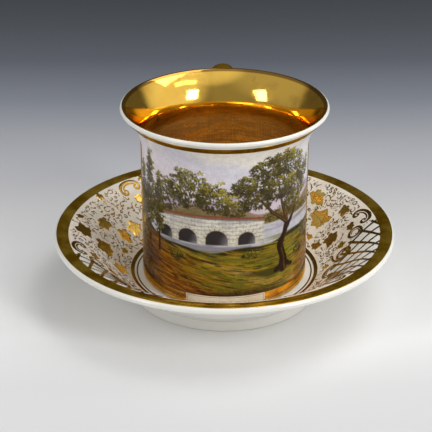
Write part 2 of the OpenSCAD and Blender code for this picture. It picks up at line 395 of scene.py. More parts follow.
class Effects:
    """Shader groups that several finishes place with their own values."""

    def __init__(self) -> None:
        """Build each group once."""
        self.streaks = self.turned_streaks()
        self.skin = self.glaze_skin()
        self.rub = self.rubbed_patches()

    @staticmethod
    def group(name: str, inputs: Iterable[str], outputs: Iterable[str]
              ) -> tuple[Board, dict[str, Socket], bpy.types.Node]:
        """Start a group whose first input is the place.

        Args:
            name: Name of the group.
            inputs: Names of its value inputs.
            outputs: Names of its value outputs.

        Returns:
            Its board, its input outputs by name and its output node.
        """
        tree = bpy.data.node_groups.new(name, "ShaderNodeTree")
        tree.interface.new_socket("Place", in_out="INPUT", socket_type="NodeSocketVector")
        for label in inputs:
            tree.interface.new_socket(label, in_out="INPUT", socket_type="NodeSocketFloat")
        for label in outputs:
            tree.interface.new_socket(label, in_out="OUTPUT", socket_type="NodeSocketFloat")
        board = Board(tree)
        given = {socket.name: socket for socket in board.node("NodeGroupInput").outputs}
        return board, given, board.node("NodeGroupOutput")

    def turned_streaks(self) -> NodeTree:
        """Build the streaks that a burnishing stone or a banding wheel leaves round the axis.

        Returns:
            The group's tree.
        """
        board, given, out = self.group("turned_streaks", ("Around", "Across"), ("Streak",))
        x, y, z = board.parts(given["Place"])
        flat = board.joined(x, y, 0.0)
        length = board.filled(board.node("ShaderNodeVectorMath", operation="LENGTH"), flat)["Value"]
        ring = board.vector("NORMALIZE", flat)
        wide = board.joined(given["Around"], given["Around"], 0.0)
        level = board.math("MULTIPLY", board.math("ADD", length, z), given["Across"])
        where = board.vector("ADD", board.vector("MULTIPLY", ring, wide), board.joined(0.0, 0.0, level))
        board.fed(out, Streak=board.noise(where, 1.0, detail=2.0, roughness=0.6))
        return board.tree

    def glaze_skin(self) -> NodeTree:
        """Build the slow waves of a poured glaze, its pinholes and its kiln specks.

        Returns:
            The group's tree.
        """
        board, given, out = self.group("glaze_skin", ("Wave", "Pits"), ("Height", "Specks"))
        wave = board.noise(given["Place"], given["Wave"], detail=1.0)
        distance, cell = board.cells(given["Place"], given["Pits"])
        chosen = board.math("GREATER_THAN", board.parts(cell)[0], 0.86)
        spot = board.math("MULTIPLY", board.span(distance, 0.03, 0.08, 1.0, 0.0), chosen)
        pit = board.math("MULTIPLY", spot, 0.3)
        board.fed(out, Height=board.math("SUBTRACT", wave, pit), Specks=spot)
        return board.tree

    def rubbed_patches(self) -> NodeTree:
        """Build the patches where use has rubbed a fired layer, with ragged edges.

        Returns:
            The group's tree.
        """
        board, given, out = self.group("rubbed_patches", ("Size", "Level"), ("Mask",))
        cloud = board.noise(given["Place"], given["Size"], detail=6.0, roughness=0.65)
        full = board.math("ADD", given["Level"], 0.1)
        board.fed(out, Mask=board.span(cloud, given["Level"], full))
        return board.tree


@dataclass(frozen=True)
class PorcelainGlaze:
    """White glazed porcelain with an unglazed foot."""

    name: str
    foot_height: float
    white: Colour = linear(242, 239, 230)
    cool: Colour = linear(235, 234, 227)
    bisque: Colour = linear(214, 204, 188)
    speck: Colour = linear(150, 132, 108)
    glaze_line: Range = (0.15 * MM, 0.5 * MM)
    gloss: Range = (0.07, 0.14)
    matt: float = 0.6

    def material(self, effects: Effects) -> Material:
        """Make the material.

        Args:
            effects: Shared shader groups.

        Returns:
            The material.
        """
        board = FinishBoard(self.name)
        here = board.place_at
        skin = board.place(effects.skin, Place=here, Wave=90.0, Pits=160.0)
        tint = board.mix(board.noise(here, 30.0, 2.0), self.white, self.cool)
        tint = board.mix(skin["Specks"], tint, self.speck)
        glazed = board.span(board.parts(here)[2], *(self.foot_height + rise for rise in self.glaze_line))
        board.set(Base_Color=board.mix(glazed, self.bisque, tint))
        gloss = board.span(board.noise(here, 140.0, 4.0), 0.35, 0.75, *self.gloss)
        board.set(Roughness=board.span(glazed, 0.0, 1.0, self.matt, gloss))
        board.bump(skin["Height"], strength=0.25, depth=0.15 * MM)
        return board.material


@dataclass(frozen=True)
class FiredGold:
    """Fired and burnished gold, streaked by the brush and rubbed by use."""

    name: str
    bright: Colour = (0.90, 0.54, 0.06, 1.0)
    deep: Colour = (0.66, 0.36, 0.035, 1.0)
    worn_and_shade: Colour = (0.30, 0.15, 0.02, 1.0)
    smooth: float = 0.16
    rough: float = 0.34
    around: float = 24.0
    across: float = 1600.0
    patch_size: float = 260.0
    patch_level: float = 0.60
    edge: Colour = GOLD_EDGE
    wear_and_shade: float = 0.7

    def marks(self, board: FinishBoard) -> Socket | None:
        """Mask of marks that are drawn in the gold, and of any painted shade; plain gold has none."""
        return None

    def material(self, effects: Effects) -> Material:
        """Make the material.

        Args:
            effects: Shared shader groups.

        Returns:
            The material.
        """
        board = FinishBoard(self.name, metallic=1.0)
        here = board.place_at
        streak = board.place(effects.streaks, Place=here, Around=self.around, Across=self.across)["Streak"]
        rub = board.place(effects.rub, Place=here, Size=self.patch_size, Level=self.patch_level)["Mask"]
        cloud = board.noise(here, 95.0, 3.0)
        tone = board.mix(board.span(cloud, 0.35, 0.65), self.bright, self.deep)
        tone = board.mix(board.span(streak, 0.35, 0.75, 0.0, 0.45), tone, self.deep)
        tone = board.mix(board.math("MULTIPLY", rub, self.wear_and_shade), tone, self.worn_and_shade)
        # drawn marks, and on the vine leaves their painted shade, pull the tone towards the dark worn colour
        drawn = self.marks(board)
        if drawn is not None:
            tone = board.mix(board.math("MULTIPLY", drawn, self.wear_and_shade), tone, self.worn_and_shade)
        board.set(Base_Color=tone, Specular_Tint=self.edge)
        polish = board.span(streak, 0.3, 0.7, self.smooth, 0.5 * (self.smooth + self.rough))
        board.set(Roughness=board.span(rub, 0.0, 1.0, polish, self.rough))
        grain = board.math("ADD", streak, board.noise(here, 900.0, 2.0))
        board.bump(grain, strength=0.12, depth=0.05 * MM)
        return board.material


@dataclass(frozen=True)
class LeafGold(FiredGold):
    """Gold of the vine leaves, with veins along each leaf's own map and painted shade on some leaves."""

    uv_map: str = "leaf"
    painted_shade_layer: str = "shade"
    stalk: float = -0.14
    ribs: tuple[float, ...] = (90.0, 28.0, -32.0)
    rib_width: float = 0.016

    def marks(self, board: FinishBoard) -> Socket | None:
        """Mask of the veins, from the stalk to the tips on both sides, and of the painted shade that darkens
        leaves which would reflect dark surroundings.

        Args:
            board: The material's tree.

        Returns:
            The mask's output.
        """
        x, y, _ = board.parts(board.node("ShaderNodeUVMap", uv_map=self.uv_map).outputs["UV"])
        side, up = board.math("ABSOLUTE", x), board.math("SUBTRACT", y, self.stalk)
        near: object = 1.0
        for rib in self.ribs:
            lean = math.radians(rib)
            rise = board.math("MULTIPLY", up, math.cos(lean))
            off = board.math("SUBTRACT", board.math("MULTIPLY", side, math.sin(lean)), rise)
            near = board.math("MINIMUM", board.math("ABSOLUTE", off), near)
        veins = board.span(near, 0.4 * self.rib_width, 1.4 * self.rib_width, 1.0, 0.0)
        # painted shade: a value on each leaf that darkens it, standing in for dark reflections
        shade = board.node("ShaderNodeAttribute", attribute_name=self.painted_shade_layer).outputs["Fac"]
        return board.math("MAXIMUM", veins, shade)


@dataclass(frozen=True)
class InsideGold:
    """Gold inside the cup: mirror bright on the collar, brushed and rubbed by use further down."""

    name: str = "burnished_inside_gold"
    bright: Colour = (0.97, 0.61, 0.11, 1.0)
    warm: Colour = (0.88, 0.51, 0.08, 1.0)
    low: Colour = (1.0, 0.79, 0.35, 1.0)
    low_dark: Colour = (0.56, 0.32, 0.08, 1.0)
    dark_tone: Colour = (0.22, 0.10, 0.025, 1.0)
    floor: float = 16 * MM
    neck: float = 76 * MM
    fade: float = 8 * MM
    edge: float = 89.1 * MM
    edge_fade: float = 0.5 * MM
    edge_tint: Colour = (1.0, 0.86, 0.55, 1.0)
    streak_share: float = 0.74
    hair_share: float = 0.26
    mirror: Range = (0.06, 0.14)
    brushed: Range = (0.24, 0.52)

    def material(self, effects: Effects) -> Material:
        """Make the material.

        Args:
            effects: Shared shader groups.

        Returns:
            The material.
        """
        board = FinishBoard(self.name, metallic=1.0)
        here = board.place_at
        height = board.parts(here)[2]
        collar = board.span(height, self.neck - self.fade, self.neck)
        streak = board.place(effects.streaks, Place=here, Around=2.6, Across=480.0)["Streak"]
        hairs = board.place(effects.streaks, Place=here, Around=90.0, Across=45.0)["Streak"]
        rub = board.place(effects.rub, Place=here, Size=120.0, Level=0.60)["Mask"]
        distance, cell = board.cells(here, 110.0)
        chosen = board.math("MULTIPLY", board.math("GREATER_THAN", board.parts(cell)[1], 0.70), collar)
        spot = board.math("MULTIPLY", board.span(distance, 0.09, 0.25, 0.85, 0.0), chosen)
        brush = board.math("ADD", board.math("MULTIPLY", streak, self.streak_share),
                           board.math("MULTIPLY", hairs, self.hair_share))
        walls = board.span(height, self.floor, self.floor + self.fade)
        brush = board.span(walls, 0.0, 1.0, board.span(brush, 0.0, 1.0, 0.3, 0.65), brush)
        low = board.mix(board.span(brush, 0.40, 0.58), self.low, self.low_dark)
        tone = board.mix(board.span(board.noise(here, 60.0, 4.0), 0.40, 0.70), self.bright, self.warm)
        tone = board.mix(collar, low, tone)
        cloud = board.span(board.noise(here, 75.0, 5.0), 0.56, 0.72, 0.0, 0.45)
        tone = board.mix(cloud, tone, self.low_dark)
        # darker towards the lip's edge
        brink = board.span(height, self.edge, self.edge + self.edge_fade, 0.0, 0.8)
        tone = board.mix(brink, tone, self.dark_tone)
        tone = board.mix(board.math("MULTIPLY", rub, 0.4), tone, self.low_dark)
        board.set(Base_Color=board.mix(spot, tone, self.dark_tone), Specular_Tint=self.edge_tint)
        mirror = board.span(board.noise(here, 220.0, 4.0), 0.35, 0.75, *self.mirror)
        brushed = board.span(brush, 0.35, 0.65, *self.brushed)
        polish = board.span(collar, 0.0, 1.0, brushed, mirror)
        board.set(Roughness=board.math("ADD", polish, board.math("MULTIPLY", rub, 0.10)))
        grain = board.math("MULTIPLY", board.span(collar, 0.0, 1.0, 0.6, 0.12), brush)
        wave = board.noise(here, 110.0, 1.0)
        board.bump(board.math("ADD", wave, grain), strength=0.35, depth=0.22 * MM)
        return board.material


@dataclass(frozen=True)
class CreamGround:
    """Cream enamel ground, laid on with a broad brush."""

    name: str = "cream_ground"
    cream: Colour = linear(242, 234, 221)
    pink: Colour = linear(235, 221, 205)
    speck: Colour = linear(168, 138, 96)
    gloss: Range = (0.22, 0.34)

    def material(self, effects: Effects) -> Material:
        """Make the material.

        Args:
            effects: Shared shader groups.

        Returns:
            The material.
        """
        board = FinishBoard(self.name)
        here = board.place_at
        streak = board.place(effects.streaks, Place=here, Around=10.0, Across=700.0)["Streak"]
        skin = board.place(effects.skin, Place=here, Wave=150.0, Pits=700.0)
        cloud = board.noise(here, 120.0, 5.0)
        tone = board.mix(board.span(cloud, 0.35, 0.70), self.cream, self.pink)
        tone = board.mix(board.span(streak, 0.4, 0.8, 0.0, 0.35), tone, self.pink)
        board.set(Base_Color=board.mix(board.math("MULTIPLY", skin["Specks"], 0.6), tone, self.speck))
        board.set(Roughness=board.span(streak, 0.3, 0.7, *self.gloss))
        board.bump(board.math("ADD", skin["Height"], streak), strength=0.15, depth=0.08 * MM)
        return board.material


@dataclass(frozen=True)
class PanelEnamel:
    """Painted enamel: the view's colours under a thin flux gloss, with brush hairs in them."""

    name: str = "painted_enamel"
    attribute: str = "view"
    gloss: Range = (0.13, 0.24)
    shine: float = 0.2

    def material(self, effects: Effects) -> Material:
        """Make the material.

        Args:
            effects: Shared shader groups.

        Returns:
            The material.
        """
        board = FinishBoard(self.name)
        here = board.place_at
        paint = board.node("ShaderNodeAttribute", attribute_name=self.attribute).outputs["Color"]
        hairs = board.noise(board.vector("MULTIPLY", here, (1.0, 1.0, 0.45)), 2600.0, 2.0)
        wash = board.noise(here, 420.0, 3.0)
        shade = board.math("MULTIPLY", board.span(hairs, 0.25, 0.75, 0.90, 1.08),
                           board.span(wash, 0.3, 0.7, 0.94, 1.05))
        board.set(Base_Color=board.mix(1.0, paint, board.joined(shade, shade, shade), "MULTIPLY"))
        board.set(Specular_IOR_Level=self.shine, Roughness=board.span(wash, 0.3, 0.7, *self.gloss))
        skin = board.place(effects.skin, Place=here, Wave=120.0, Pits=500.0)
        relief = board.math("ADD", skin["Height"], board.math("MULTIPLY", hairs, 0.35))
        board.bump(relief, strength=0.18, depth=0.08 * MM)
        return board.material


@dataclass(frozen=True)
class LabelEnamel:
    """Bare cream label with a fine drawn border."""

    name: str = "label_enamel"
    cream: Colour = linear(240, 228, 208)
    aged: Colour = linear(226, 210, 184)
    ink: Colour = linear(132, 92, 52)
    radius: float = 37.3 * MM
    half_length: float = 17.2 * MM
    middle: float = 12.35 * MM
    half_height: float = 1.65 * MM
    line: float = 0.1 * MM
    gloss: Range = (0.18, 0.28)

    def material(self, effects: Effects) -> Material:
        """Make the material.

        Args:
            effects: Shared shader groups.

        Returns:
            The material.
        """
        board = FinishBoard(self.name)
        here = board.place_at
        x, y, z = board.parts(here)
        along = board.math("MULTIPLY", board.math("ARCTAN2", x, board.math("MULTIPLY", y, -1.0)), self.radius)
        side = board.math("SUBTRACT", board.math("ABSOLUTE", along), self.half_length)
        above = board.math("ABSOLUTE", board.math("SUBTRACT", z, self.middle))
        rise = board.math("SUBTRACT", above, self.half_height)
        off = board.math("ABSOLUTE", board.math("MAXIMUM", side, rise))
        drawn = board.span(off, 0.5 * self.line, 1.5 * self.line, 0.8, 0.0)
        skin = board.place(effects.skin, Place=here, Wave=200.0, Pits=900.0)
        tone = board.mix(board.span(board.noise(here, 160.0, 5.0), 0.35, 0.7), self.cream, self.aged)
        board.set(Base_Color=board.mix(drawn, tone, self.ink))
        board.set(Roughness=board.span(skin["Height"], 0.3, 0.7, *self.gloss))
        board.bump(skin["Height"], strength=0.15, depth=0.08 * MM)
        return board.material


@dataclass(frozen=True)
class SlipClay:
    """Dried and fired slip in the joints of the handle."""

    name: str = "joint_slip"
    pale: Colour = linear(226, 220, 208)
    grey: Colour = linear(196, 188, 174)
    matt: Range = (0.35, 0.6)

    def material(self, effects: Effects) -> Material:
        """Make the material.

        Args:
            effects: Shared shader groups.

        Returns:
            The material.
        """
        board = FinishBoard(self.name)
        rub = board.place(effects.rub, Place=board.place_at, Size=900.0, Level=0.45)["Mask"]
        board.set(Base_Color=board.mix(rub, self.pale, self.grey))
        board.set(Roughness=board.span(rub, 0.0, 1.0, *self.matt))
        board.bump(rub, strength=0.2, depth=0.05 * MM)
        return board.material


@dataclass(frozen=True)
class FloorPaper:
    """Studio paper that fades from pale in front to dark grey behind, as painted shade for light falling off
    towards the back, with painted light lifting its left side.
    """

    name: str = "studio_paper"
    near: float = -0.12
    far: float = 0.44
    left: Range = (-0.20, -0.02)
    left_painted_light: float = 1.09
    matt: Range = (0.8, 0.95)
    shine: float = 0.1
    # painted shade: the ramp darkens the paper towards the back where the light falls off
    painted_falloff_stops: tuple[tuple[float, Colour], ...] = (
        (0.00, (0.705, 0.705, 0.705, 1.0)),
        (0.06, (0.725, 0.725, 0.725, 1.0)),
        (0.13, (0.840, 0.840, 0.838, 1.0)),
        (0.19, (0.820, 0.820, 0.818, 1.0)),
        (0.28, (0.745, 0.745, 0.745, 1.0)),
        (0.36, (0.625, 0.627, 0.635, 1.0)),
        (0.44, (0.490, 0.494, 0.520, 1.0)),
        (0.53, (0.365, 0.373, 0.404, 1.0)),
        (0.64, (0.213, 0.228, 0.264, 1.0)),
        (0.77, (0.110, 0.120, 0.143, 1.0)),
        (0.90, (0.077, 0.084, 0.096, 1.0)),
        (1.00, (0.061, 0.067, 0.076, 1.0)),
    )

    def material(self) -> Material:
        """Make the material.

        Returns:
            The material.
        """
        board = FinishBoard(self.name)
        aside, depth, _ = board.parts(board.place_at)
        share = board.node("ShaderNodeMapRange")
        share = board.fed(share, Value=depth, From_Min=self.near, From_Max=self.far)["Result"]
        ramp = board.node("ShaderNodeValToRGB")
        board.fed(ramp, Fac=share)
        marks = ramp.color_ramp.elements
        for index, (position, colour) in enumerate(self.painted_falloff_stops):
            mark = marks[index] if index < len(marks) else marks.new(position)
            mark.position = position
            mark.color = colour
        # painted light: brightens the paper on the left side
        lift = board.span(aside, *self.left, self.left_painted_light, 1.0)
        painted_light_tone = board.mix(1.0, ramp.outputs["Color"], board.joined(lift, lift, lift), "MULTIPLY")
        smooth = board.span(board.noise(board.place_at, 60.0, 4.0), 0.3, 0.7, *self.matt)
        board.set(Base_Color=painted_light_tone, Roughness=smooth, Specular_IOR_Level=self.shine)
        return board.material


@dataclass
class Saucer:
    """White saucer with a gold band, a cream ground with three reserves and two gold rings."""

    diameter: float = 153.8 * MM
    height: float = 30.6 * MM
    wall: float = 3.2 * MM
    flange_start: float = 0.26
    flange_end: float = -0.1
    well_radius: float = 40.5 * MM
    well_height: float = 9.0 * MM
    floor: float = 3.8 * MM
    foot_out: float = 1.8 * MM
    foot_width: float = 3.6 * MM
    foot_blend: float = 1.0 * MM
    foot_round: float = 0.5 * MM
    gold: float = 0.15 * MM
    enamel: float = 0.2 * MM
    band_width: float = 4.9 * MM
    band_edge: float = 15.0
    wide_ring_gap: float = 0.8 * MM
    wide_ring_width: float = 1.7 * MM
    fine_ring_gap: float = 0.2 * MM
    fine_ring_width: float = 0.6 * MM
    reserve_count: int = 3
    reserve_turn: float = 103.5
    reserve_radius: float = 35.0 * MM
    reserve_gap: float = 6.2 * MM
    reserve_sides: int = 160
    well_shoulder: float = 1.0 * MM
    well_edge: float = 0.3 * MM
    flange_steps: int = 60
    under_steps: int = 40
    edge_steps: int = 24
    steps: int = 288

    def __post_init__(self) -> None:
        """Work out the places that follow from the sizes."""
        self.edge_radius = self.wall / 2
        self.edge_turn = math.atan(self.flange_end)
        self.rim = self.diameter / 2 - self.edge_radius * (1 + math.sin(self.edge_turn))
        self.run = self.rim - self.well_radius
        self.rise = self.height - self.well_height
        self.band_in = self.rim - self.band_width
        self.wide_in = self.well_radius + self.wide_ring_gap
        self.wide_out = self.wide_in + self.wide_ring_width
        self.reserve_middle = self.wide_out + self.reserve_gap + self.reserve_radius

    def flange_height(self, radius: float) -> float:
        """Height of the flange's top face.

        Args:
            radius: Distance from the axis.

        Returns:
            Height above the table.
        """
        u = (radius - self.well_radius) / self.run
        start = self.flange_start * self.run * u * (1 - u) ** 2
        end = self.flange_end * self.run * u * u * (1 - u)
        return self.well_height + start + self.rise * u * u * (3 - 2 * u) - end

    def flange_slope(self, radius: float) -> float:
        """Slope of the flange's top face.

        Args:
            radius: Distance from the axis.

        Returns:
            Angle from level.
        """
        u = (radius - self.well_radius) / self.run
        start, middle = self.flange_start * (1 - u) * (1 - 3 * u), 6 * self.rise / self.run * u * (1 - u)
        return math.atan(start + middle + self.flange_end * u * (3 * u - 2))

    def flange_point(self, radius: float, lift: float) -> Point:
        """Point above the flange's top face, by its foot's radius and its distance along the normal."""
        slope = self.flange_slope(radius)
        return radius - lift * math.sin(slope), self.flange_height(radius) + lift * math.cos(slope)

    def edge_point(self, turn: float, lift: float) -> Point:
        """Point on the rounded edge.

        Args:
            turn: Angle from the top face, in degrees.
            lift: Distance from the edge's face.

        Returns:
            Radius and height.
        """
        r, z = self.flange_point(self.rim, -self.edge_radius)
        angle = math.radians(turn) - self.edge_turn
        reach = self.edge_radius + lift
        return r + reach * math.sin(angle), z + reach * math.cos(angle)

    def layer(self, radii: Sequence[float], thickness: float) -> list[Point]:
        """Section of a thin layer on the flange."""
        under = [self.flange_point(r, 0) for r in radii]
        return under + [self.flange_point(r, thickness) for r in reversed(radii)]

    def drape(self, bm: Shape) -> None:
        """Lay a flat drawing on the flange.

        Args:
            bm: The drawing, with its plan place as x and y and its lift as z.
        """
        for vert in bm.verts:
            radius = math.hypot(vert.co.x, vert.co.y)
            r, z = self.flange_point(radius, vert.co.z)
            vert.co = (vert.co.x * r / radius, vert.co.y * r / radius, z)

    def porcelain(self) -> Piece:
        """Spin the white body and round its foot ring.

        Returns:
            The new piece.
        """
        foot = self.well_radius + self.foot_out
        under = foot + self.foot_blend
        floor_under = self.well_height - self.floor
        blend_r, blend_z = self.flange_point(under, -self.wall)
        section = [(r, self.well_height) for r in (0.0, self.well_radius - self.well_shoulder)]
        section += [(self.well_radius - self.well_edge, self.well_height)]
        radii = spread(self.well_radius + self.well_edge, self.rim, self.flange_steps)
        section += [self.flange_point(r, 0) for r in radii]
        section += [self.edge_point(a, 0) for a in spread(0, 180, self.edge_steps)[1:]]
        section += [self.flange_point(r, -self.wall) for r in spread(self.rim, under, self.under_steps)[1:]]
        section += [(foot, blend_z - (blend_r - foot)), (foot, 0.0), (foot - self.foot_width, 0.0)]
        section += [(foot - self.foot_width, floor_under), (0.0, floor_under)]
        bm = turned(section, self.steps)
        bmesh.ops.remove_doubles(bm, verts=bm.verts, dist=MERGE)
        sharp = [e for e in bm.edges if all(abs(v.co.z) < MERGE for v in e.verts)
                 and abs(e.verts[0].co.xy.length - e.verts[1].co.xy.length) < MERGE]
        bmesh.ops.bevel(bm, geom=sharp, offset=self.foot_round, offset_type="OFFSET", segments=3, profile=0.5,
                        affect="EDGES", material=-1)
        return finished("saucer_porcelain", bm)

    def gold_band(self) -> Piece:
        """Spin the broad gold band on the rim.

        Returns:
            The new piece.
        """
        radii, turns = spread(self.band_in, self.rim, 10), spread(0, self.band_edge, 4)[1:]
        section = [self.flange_point(r, 0) for r in radii] + [self.edge_point(a, 0) for a in turns]
        section += [self.edge_point(a, self.gold) for a in reversed(turns)]
        section += [self.flange_point(r, self.gold) for r in reversed(radii)]
        return finished("rim_gold", turned(section, self.steps))

    def ground(self) -> Piece:
        """Spin the cream ground and cut its reserves.

        Returns:
            The new piece.
        """
        radii = spread(self.wide_out, self.band_in, self.under_steps)
        piece = finished("cream_ground", turned(self.layer(radii, self.enamel), self.steps))
        middle = Matrix.Translation((self.reserve_middle, 0, self.height / 2))
        for index in range(self.reserve_count):
            turn = math.radians(self.reserve_turn) + index * FULL_TURN / self.reserve_count
            tool = bmesh.new()
            bmesh.ops.create_cone(tool, cap_ends=True, segments=self.reserve_sides, depth=2 * self.height,
                                  radius1=self.reserve_radius, radius2=self.reserve_radius,
                                  matrix=Matrix.Rotation(turn, 4, "Z") @ middle)
            piece = trimmed(piece, tool)
        return piece

    def wide_ring(self) -> Piece:
        """Spin the wide gold ring at the foot of the flange."""
        section = self.layer(spread(self.wide_in, self.wide_out, 4), self.gold)
        return finished("wide_well_ring", turned(section, self.steps))

    def fine_ring(self) -> Piece:
        """Spin the fine gold ring inside the well's edge.

        Returns:
            The new piece.
        """
        outer, low = self.well_radius - self.fine_ring_gap, self.well_height
        inner, high = outer - self.fine_ring_width, low + self.gold
        section = [(inner, low), (outer, low), (outer, high), (inner, high)]
        return finished("fine_well_ring", turned(section, self.steps))

    def build(self, effects: Effects) -> None:
        """Make and dress the saucer.

        Args:
            effects: Shared shader groups.
        """
        band = FiredGold("rim_band_gold", bright=(1.0, 0.66, 0.10, 1.0), deep=(0.48, 0.25, 0.02, 1.0),
                         patch_level=0.66).material(effects)
        ring = FiredGold("well_ring_gold", bright=(0.46, 0.27, 0.03, 1.0),
                         deep=(0.30, 0.16, 0.02, 1.0)).material(effects)
        white = PorcelainGlaze("saucer_porcelain", 0.0).material(effects)
        settle(self.porcelain(), white, Body.SAUCER, Slot.PORCELAIN, "saucer_body")
        settle(self.gold_band(), band, Body.SAUCER, Slot.GOLD, "rim_gilding")
        settle(self.ground(), CreamGround().material(effects), Body.SAUCER, Slot.CREAM, "flange_ground")
        settle(self.wide_ring(), ring, Body.SAUCER, Slot.GOLD, "wide_well_ring")
        settle(self.fine_ring(), ring, Body.SAUCER, Slot.GOLD, "fine_well_ring")


@dataclass(frozen=True)
class Motif:
    """Place of one gilt motif on the flange.

    Directions and turns are in degrees, radius and size in mm, and shade, the painted shade of a leaf that
    would reflect dark surroundings, runs from 0 to 1.
    """

    azimuth: float
    radius: float
    size: float
    turn: float = 0.0
    flourish: Flourish = Flourish.CURL
    # painted shade of a leaf, from 0 to 1
    shade: float = 0.0


@dataclass
class GiltOrnament:
    """Gilt drawing on the saucer: vine leaves and tendrils, scroll borders and trellis."""

    saucer: Saucer
    leaf_lift: float = 0.32 * MM
    leaf_sink: float = 0.05 * MM
    leaf_sides: int = 44
    leaf_rings: tuple[Range, ...] = ((1.0, 0.80), (0.93, 0.97), (0.62, 1.0), (0.30, 1.02))
    leaf_core: float = 0.31
    leaf_teeth: int = 13
    tooth: float = 0.07
    lobes: tuple[tuple[float, float, float], ...] = (
        (90, 0.58, 46), (27, 0.56, 42), (153, 0.54, 42), (-36, 0.46, 38), (216, 0.44, 38),
    )
    stroke_lift: float = 0.2 * MM
    line_height: float = 0.14
    trellis_lift: float = 0.05 * MM
    trellis_pitch: float = 6.0 * MM
    trellis_angle: float = 45.0
    trellis_line: float = 0.66 * MM
    trellis_step: float = 0.9 * MM
    trellis_over: float = 0.6 * MM
    band_over: float = 0.5 * MM
    curls: int = 170
    curl_sizes: Range = (1.3, 3.1)
    curl_width: Range = (0.15, 0.36)
    curl_bend: float = 400.0
    wave_bend: float = 230.0
    wave_share: float = 0.35
    dots: int = 130
    dot_sizes: Range = (0.6, 1.2)
    cluster_size: float = 1.05
    vine_radii: Range = (44.3, 68.8)
    spacing: Range = (0.52, 0.46)
    tries: int = 40
    bead_size: float = 0.42 * MM
    bead_pitch: float = 1.5 * MM
    bead_span: Range = (75.0, 175.0)
    scroll_bend: float = 440.0
    scroll_points: int = 72
    scroll_width: float = 0.07
    inner_width: float = 0.034
    inner_gap: float = 0.15
    inner_start: int = 12
    inner_end: int = -22
    border_gap: float = 1.5
    border_radii: tuple[float, ...] = (44.5, 46, 49, 52, 56, 60, 64, 70)
    border_turns: tuple[float, ...] = (0, 7, 14, 20, 25, 31, 34, 35.5)
    seed: int = 11
    # shade= on a leaf is painted shade, darkening leaves that would reflect dark surroundings
    leaves_by_sector: tuple[tuple[Motif, ...], ...] = (
        (Motif(43.2, 62.2, 9.6, -50), Motif(24.9, 63.2, 6.8, -75, shade=0.25), Motif(32.3, 55.0, 11.6, 75),
         Motif(15.5, 53.0, 9.0, 150, shade=0.9), Motif(19.6, 46.4, 5.6, 100, shade=0.8),
         Motif(30.0, 47.8, 3.8, 150), Motif(58, 57, 9.6, -30), Motif(64, 65, 6.4, 30),
         Motif(74, 54, 8.6, 170), Motif(51, 48, 5.6, 110), Motif(67, 47.5, 5.4, -20)),
        (Motif(176.3, 63.6, 9.8, 20, shade=0.9), Motif(176.3, 54.8, 11.0, 120, shade=0.6),
         Motif(189.2, 48.4, 8.6, 230), Motif(161.0, 59.8, 8.8, 160), Motif(156.0, 51.4, 8.4, 240),
         Motif(144.9, 51.4, 8.8, 140), Motif(148.8, 68.4, 4.8, 60, shade=0.7), Motif(166.5, 47.2, 4.6, 10),
         Motif(168.0, 68.0, 3.8, 300, shade=0.8)),
        (Motif(283.2, 62.2, 9.6, 130), Motif(264.9, 63.2, 6.8, 200), Motif(272.3, 55.0, 11.4, 300),
         Motif(256, 52, 8.6, 250), Motif(261, 46.4, 5.6, 330), Motif(297, 57, 9.8, 190),
         Motif(304, 65, 6.4, 270), Motif(313, 53.5, 8.4, 50), Motif(291, 48, 5.4, 350),
         Motif(306, 47, 5.4, 220)),
    )
    half_border: tuple[Motif, ...] = (
        Motif(29.8, 66.7, 11.4, 188, Flourish.C_SCROLL),
        Motif(21.6, 60.9, 9.0, 90, Flourish.CURL),
        Motif(12.4, 53.2, 10.4, -14, Flourish.CURL),
        Motif(0.0, 48.9, 10.4, 0, Flourish.C_SCROLL),
    )
    # shade= here is painted shade as well
    border_leaves: tuple[Motif, ...] = (
        Motif(28.6, 60.1, 5.2, 40, shade=0.8), Motif(21.0, 54.0, 5.2, 60), Motif(9.5, 47.2, 3.6, 200),
    )

    def __post_init__(self) -> None:
        """Divide the flange, and seed the small tendrils so that each run draws the same ones."""
        self.sector_turn = 360 / self.saucer.reserve_count
        self.rng = np.random.default_rng(self.seed)

    def plan(self, motif: Motif, drawing: np.ndarray) -> np.ndarray:
        """Place a small drawing on the plan, so that it keeps its shape on the slope.

        Args:
            motif: Place, turn and size.
            drawing: Points of a drawing of unit size.

        Returns:
            Plan points in metres.
        """
        turn, radius = math.radians(motif.turn), motif.radius * MM
        u = (drawing[:, 0] * math.cos(turn) - drawing[:, 1] * math.sin(turn)) * motif.size * MM
        v = (drawing[:, 0] * math.sin(turn) + drawing[:, 1] * math.cos(turn)) * motif.size * MM
        r = radius + v * math.cos(self.saucer.flange_slope(radius))
        angle = math.radians(motif.azimuth) - u / radius
        return np.stack([r * np.cos(angle), r * np.sin(angle)], axis=1)

    @staticmethod
    def stroke(flourish: Flourish, points: int, bend: float = 330.0) -> np.ndarray:
        """Draw a flourish of unit size about its middle.

        Args:
            flourish: Kind of stroke.
            points: Number of points.
            bend: Degrees that its heading turns.

        Returns:
            Points along the stroke.
        """
        if flourish is Flourish.CURL:
            heading = math.radians(bend) * np.linspace(0, 1, points) ** 1.4
        else:
            s = np.linspace(-1, 1, points)
            turn = math.radians(bend) * (0.24 * np.abs(s) + 0.76 * np.abs(s) ** 3.2)
            heading = turn * np.sign(s) if flourish is Flourish.C_SCROLL else turn
        path = np.cumsum(np.stack([np.cos(heading), np.sin(heading)], axis=1), axis=0)
        path -= (path.min(axis=0) + path.max(axis=0)) / 2
        return path / np.ptp(path, axis=0).max()

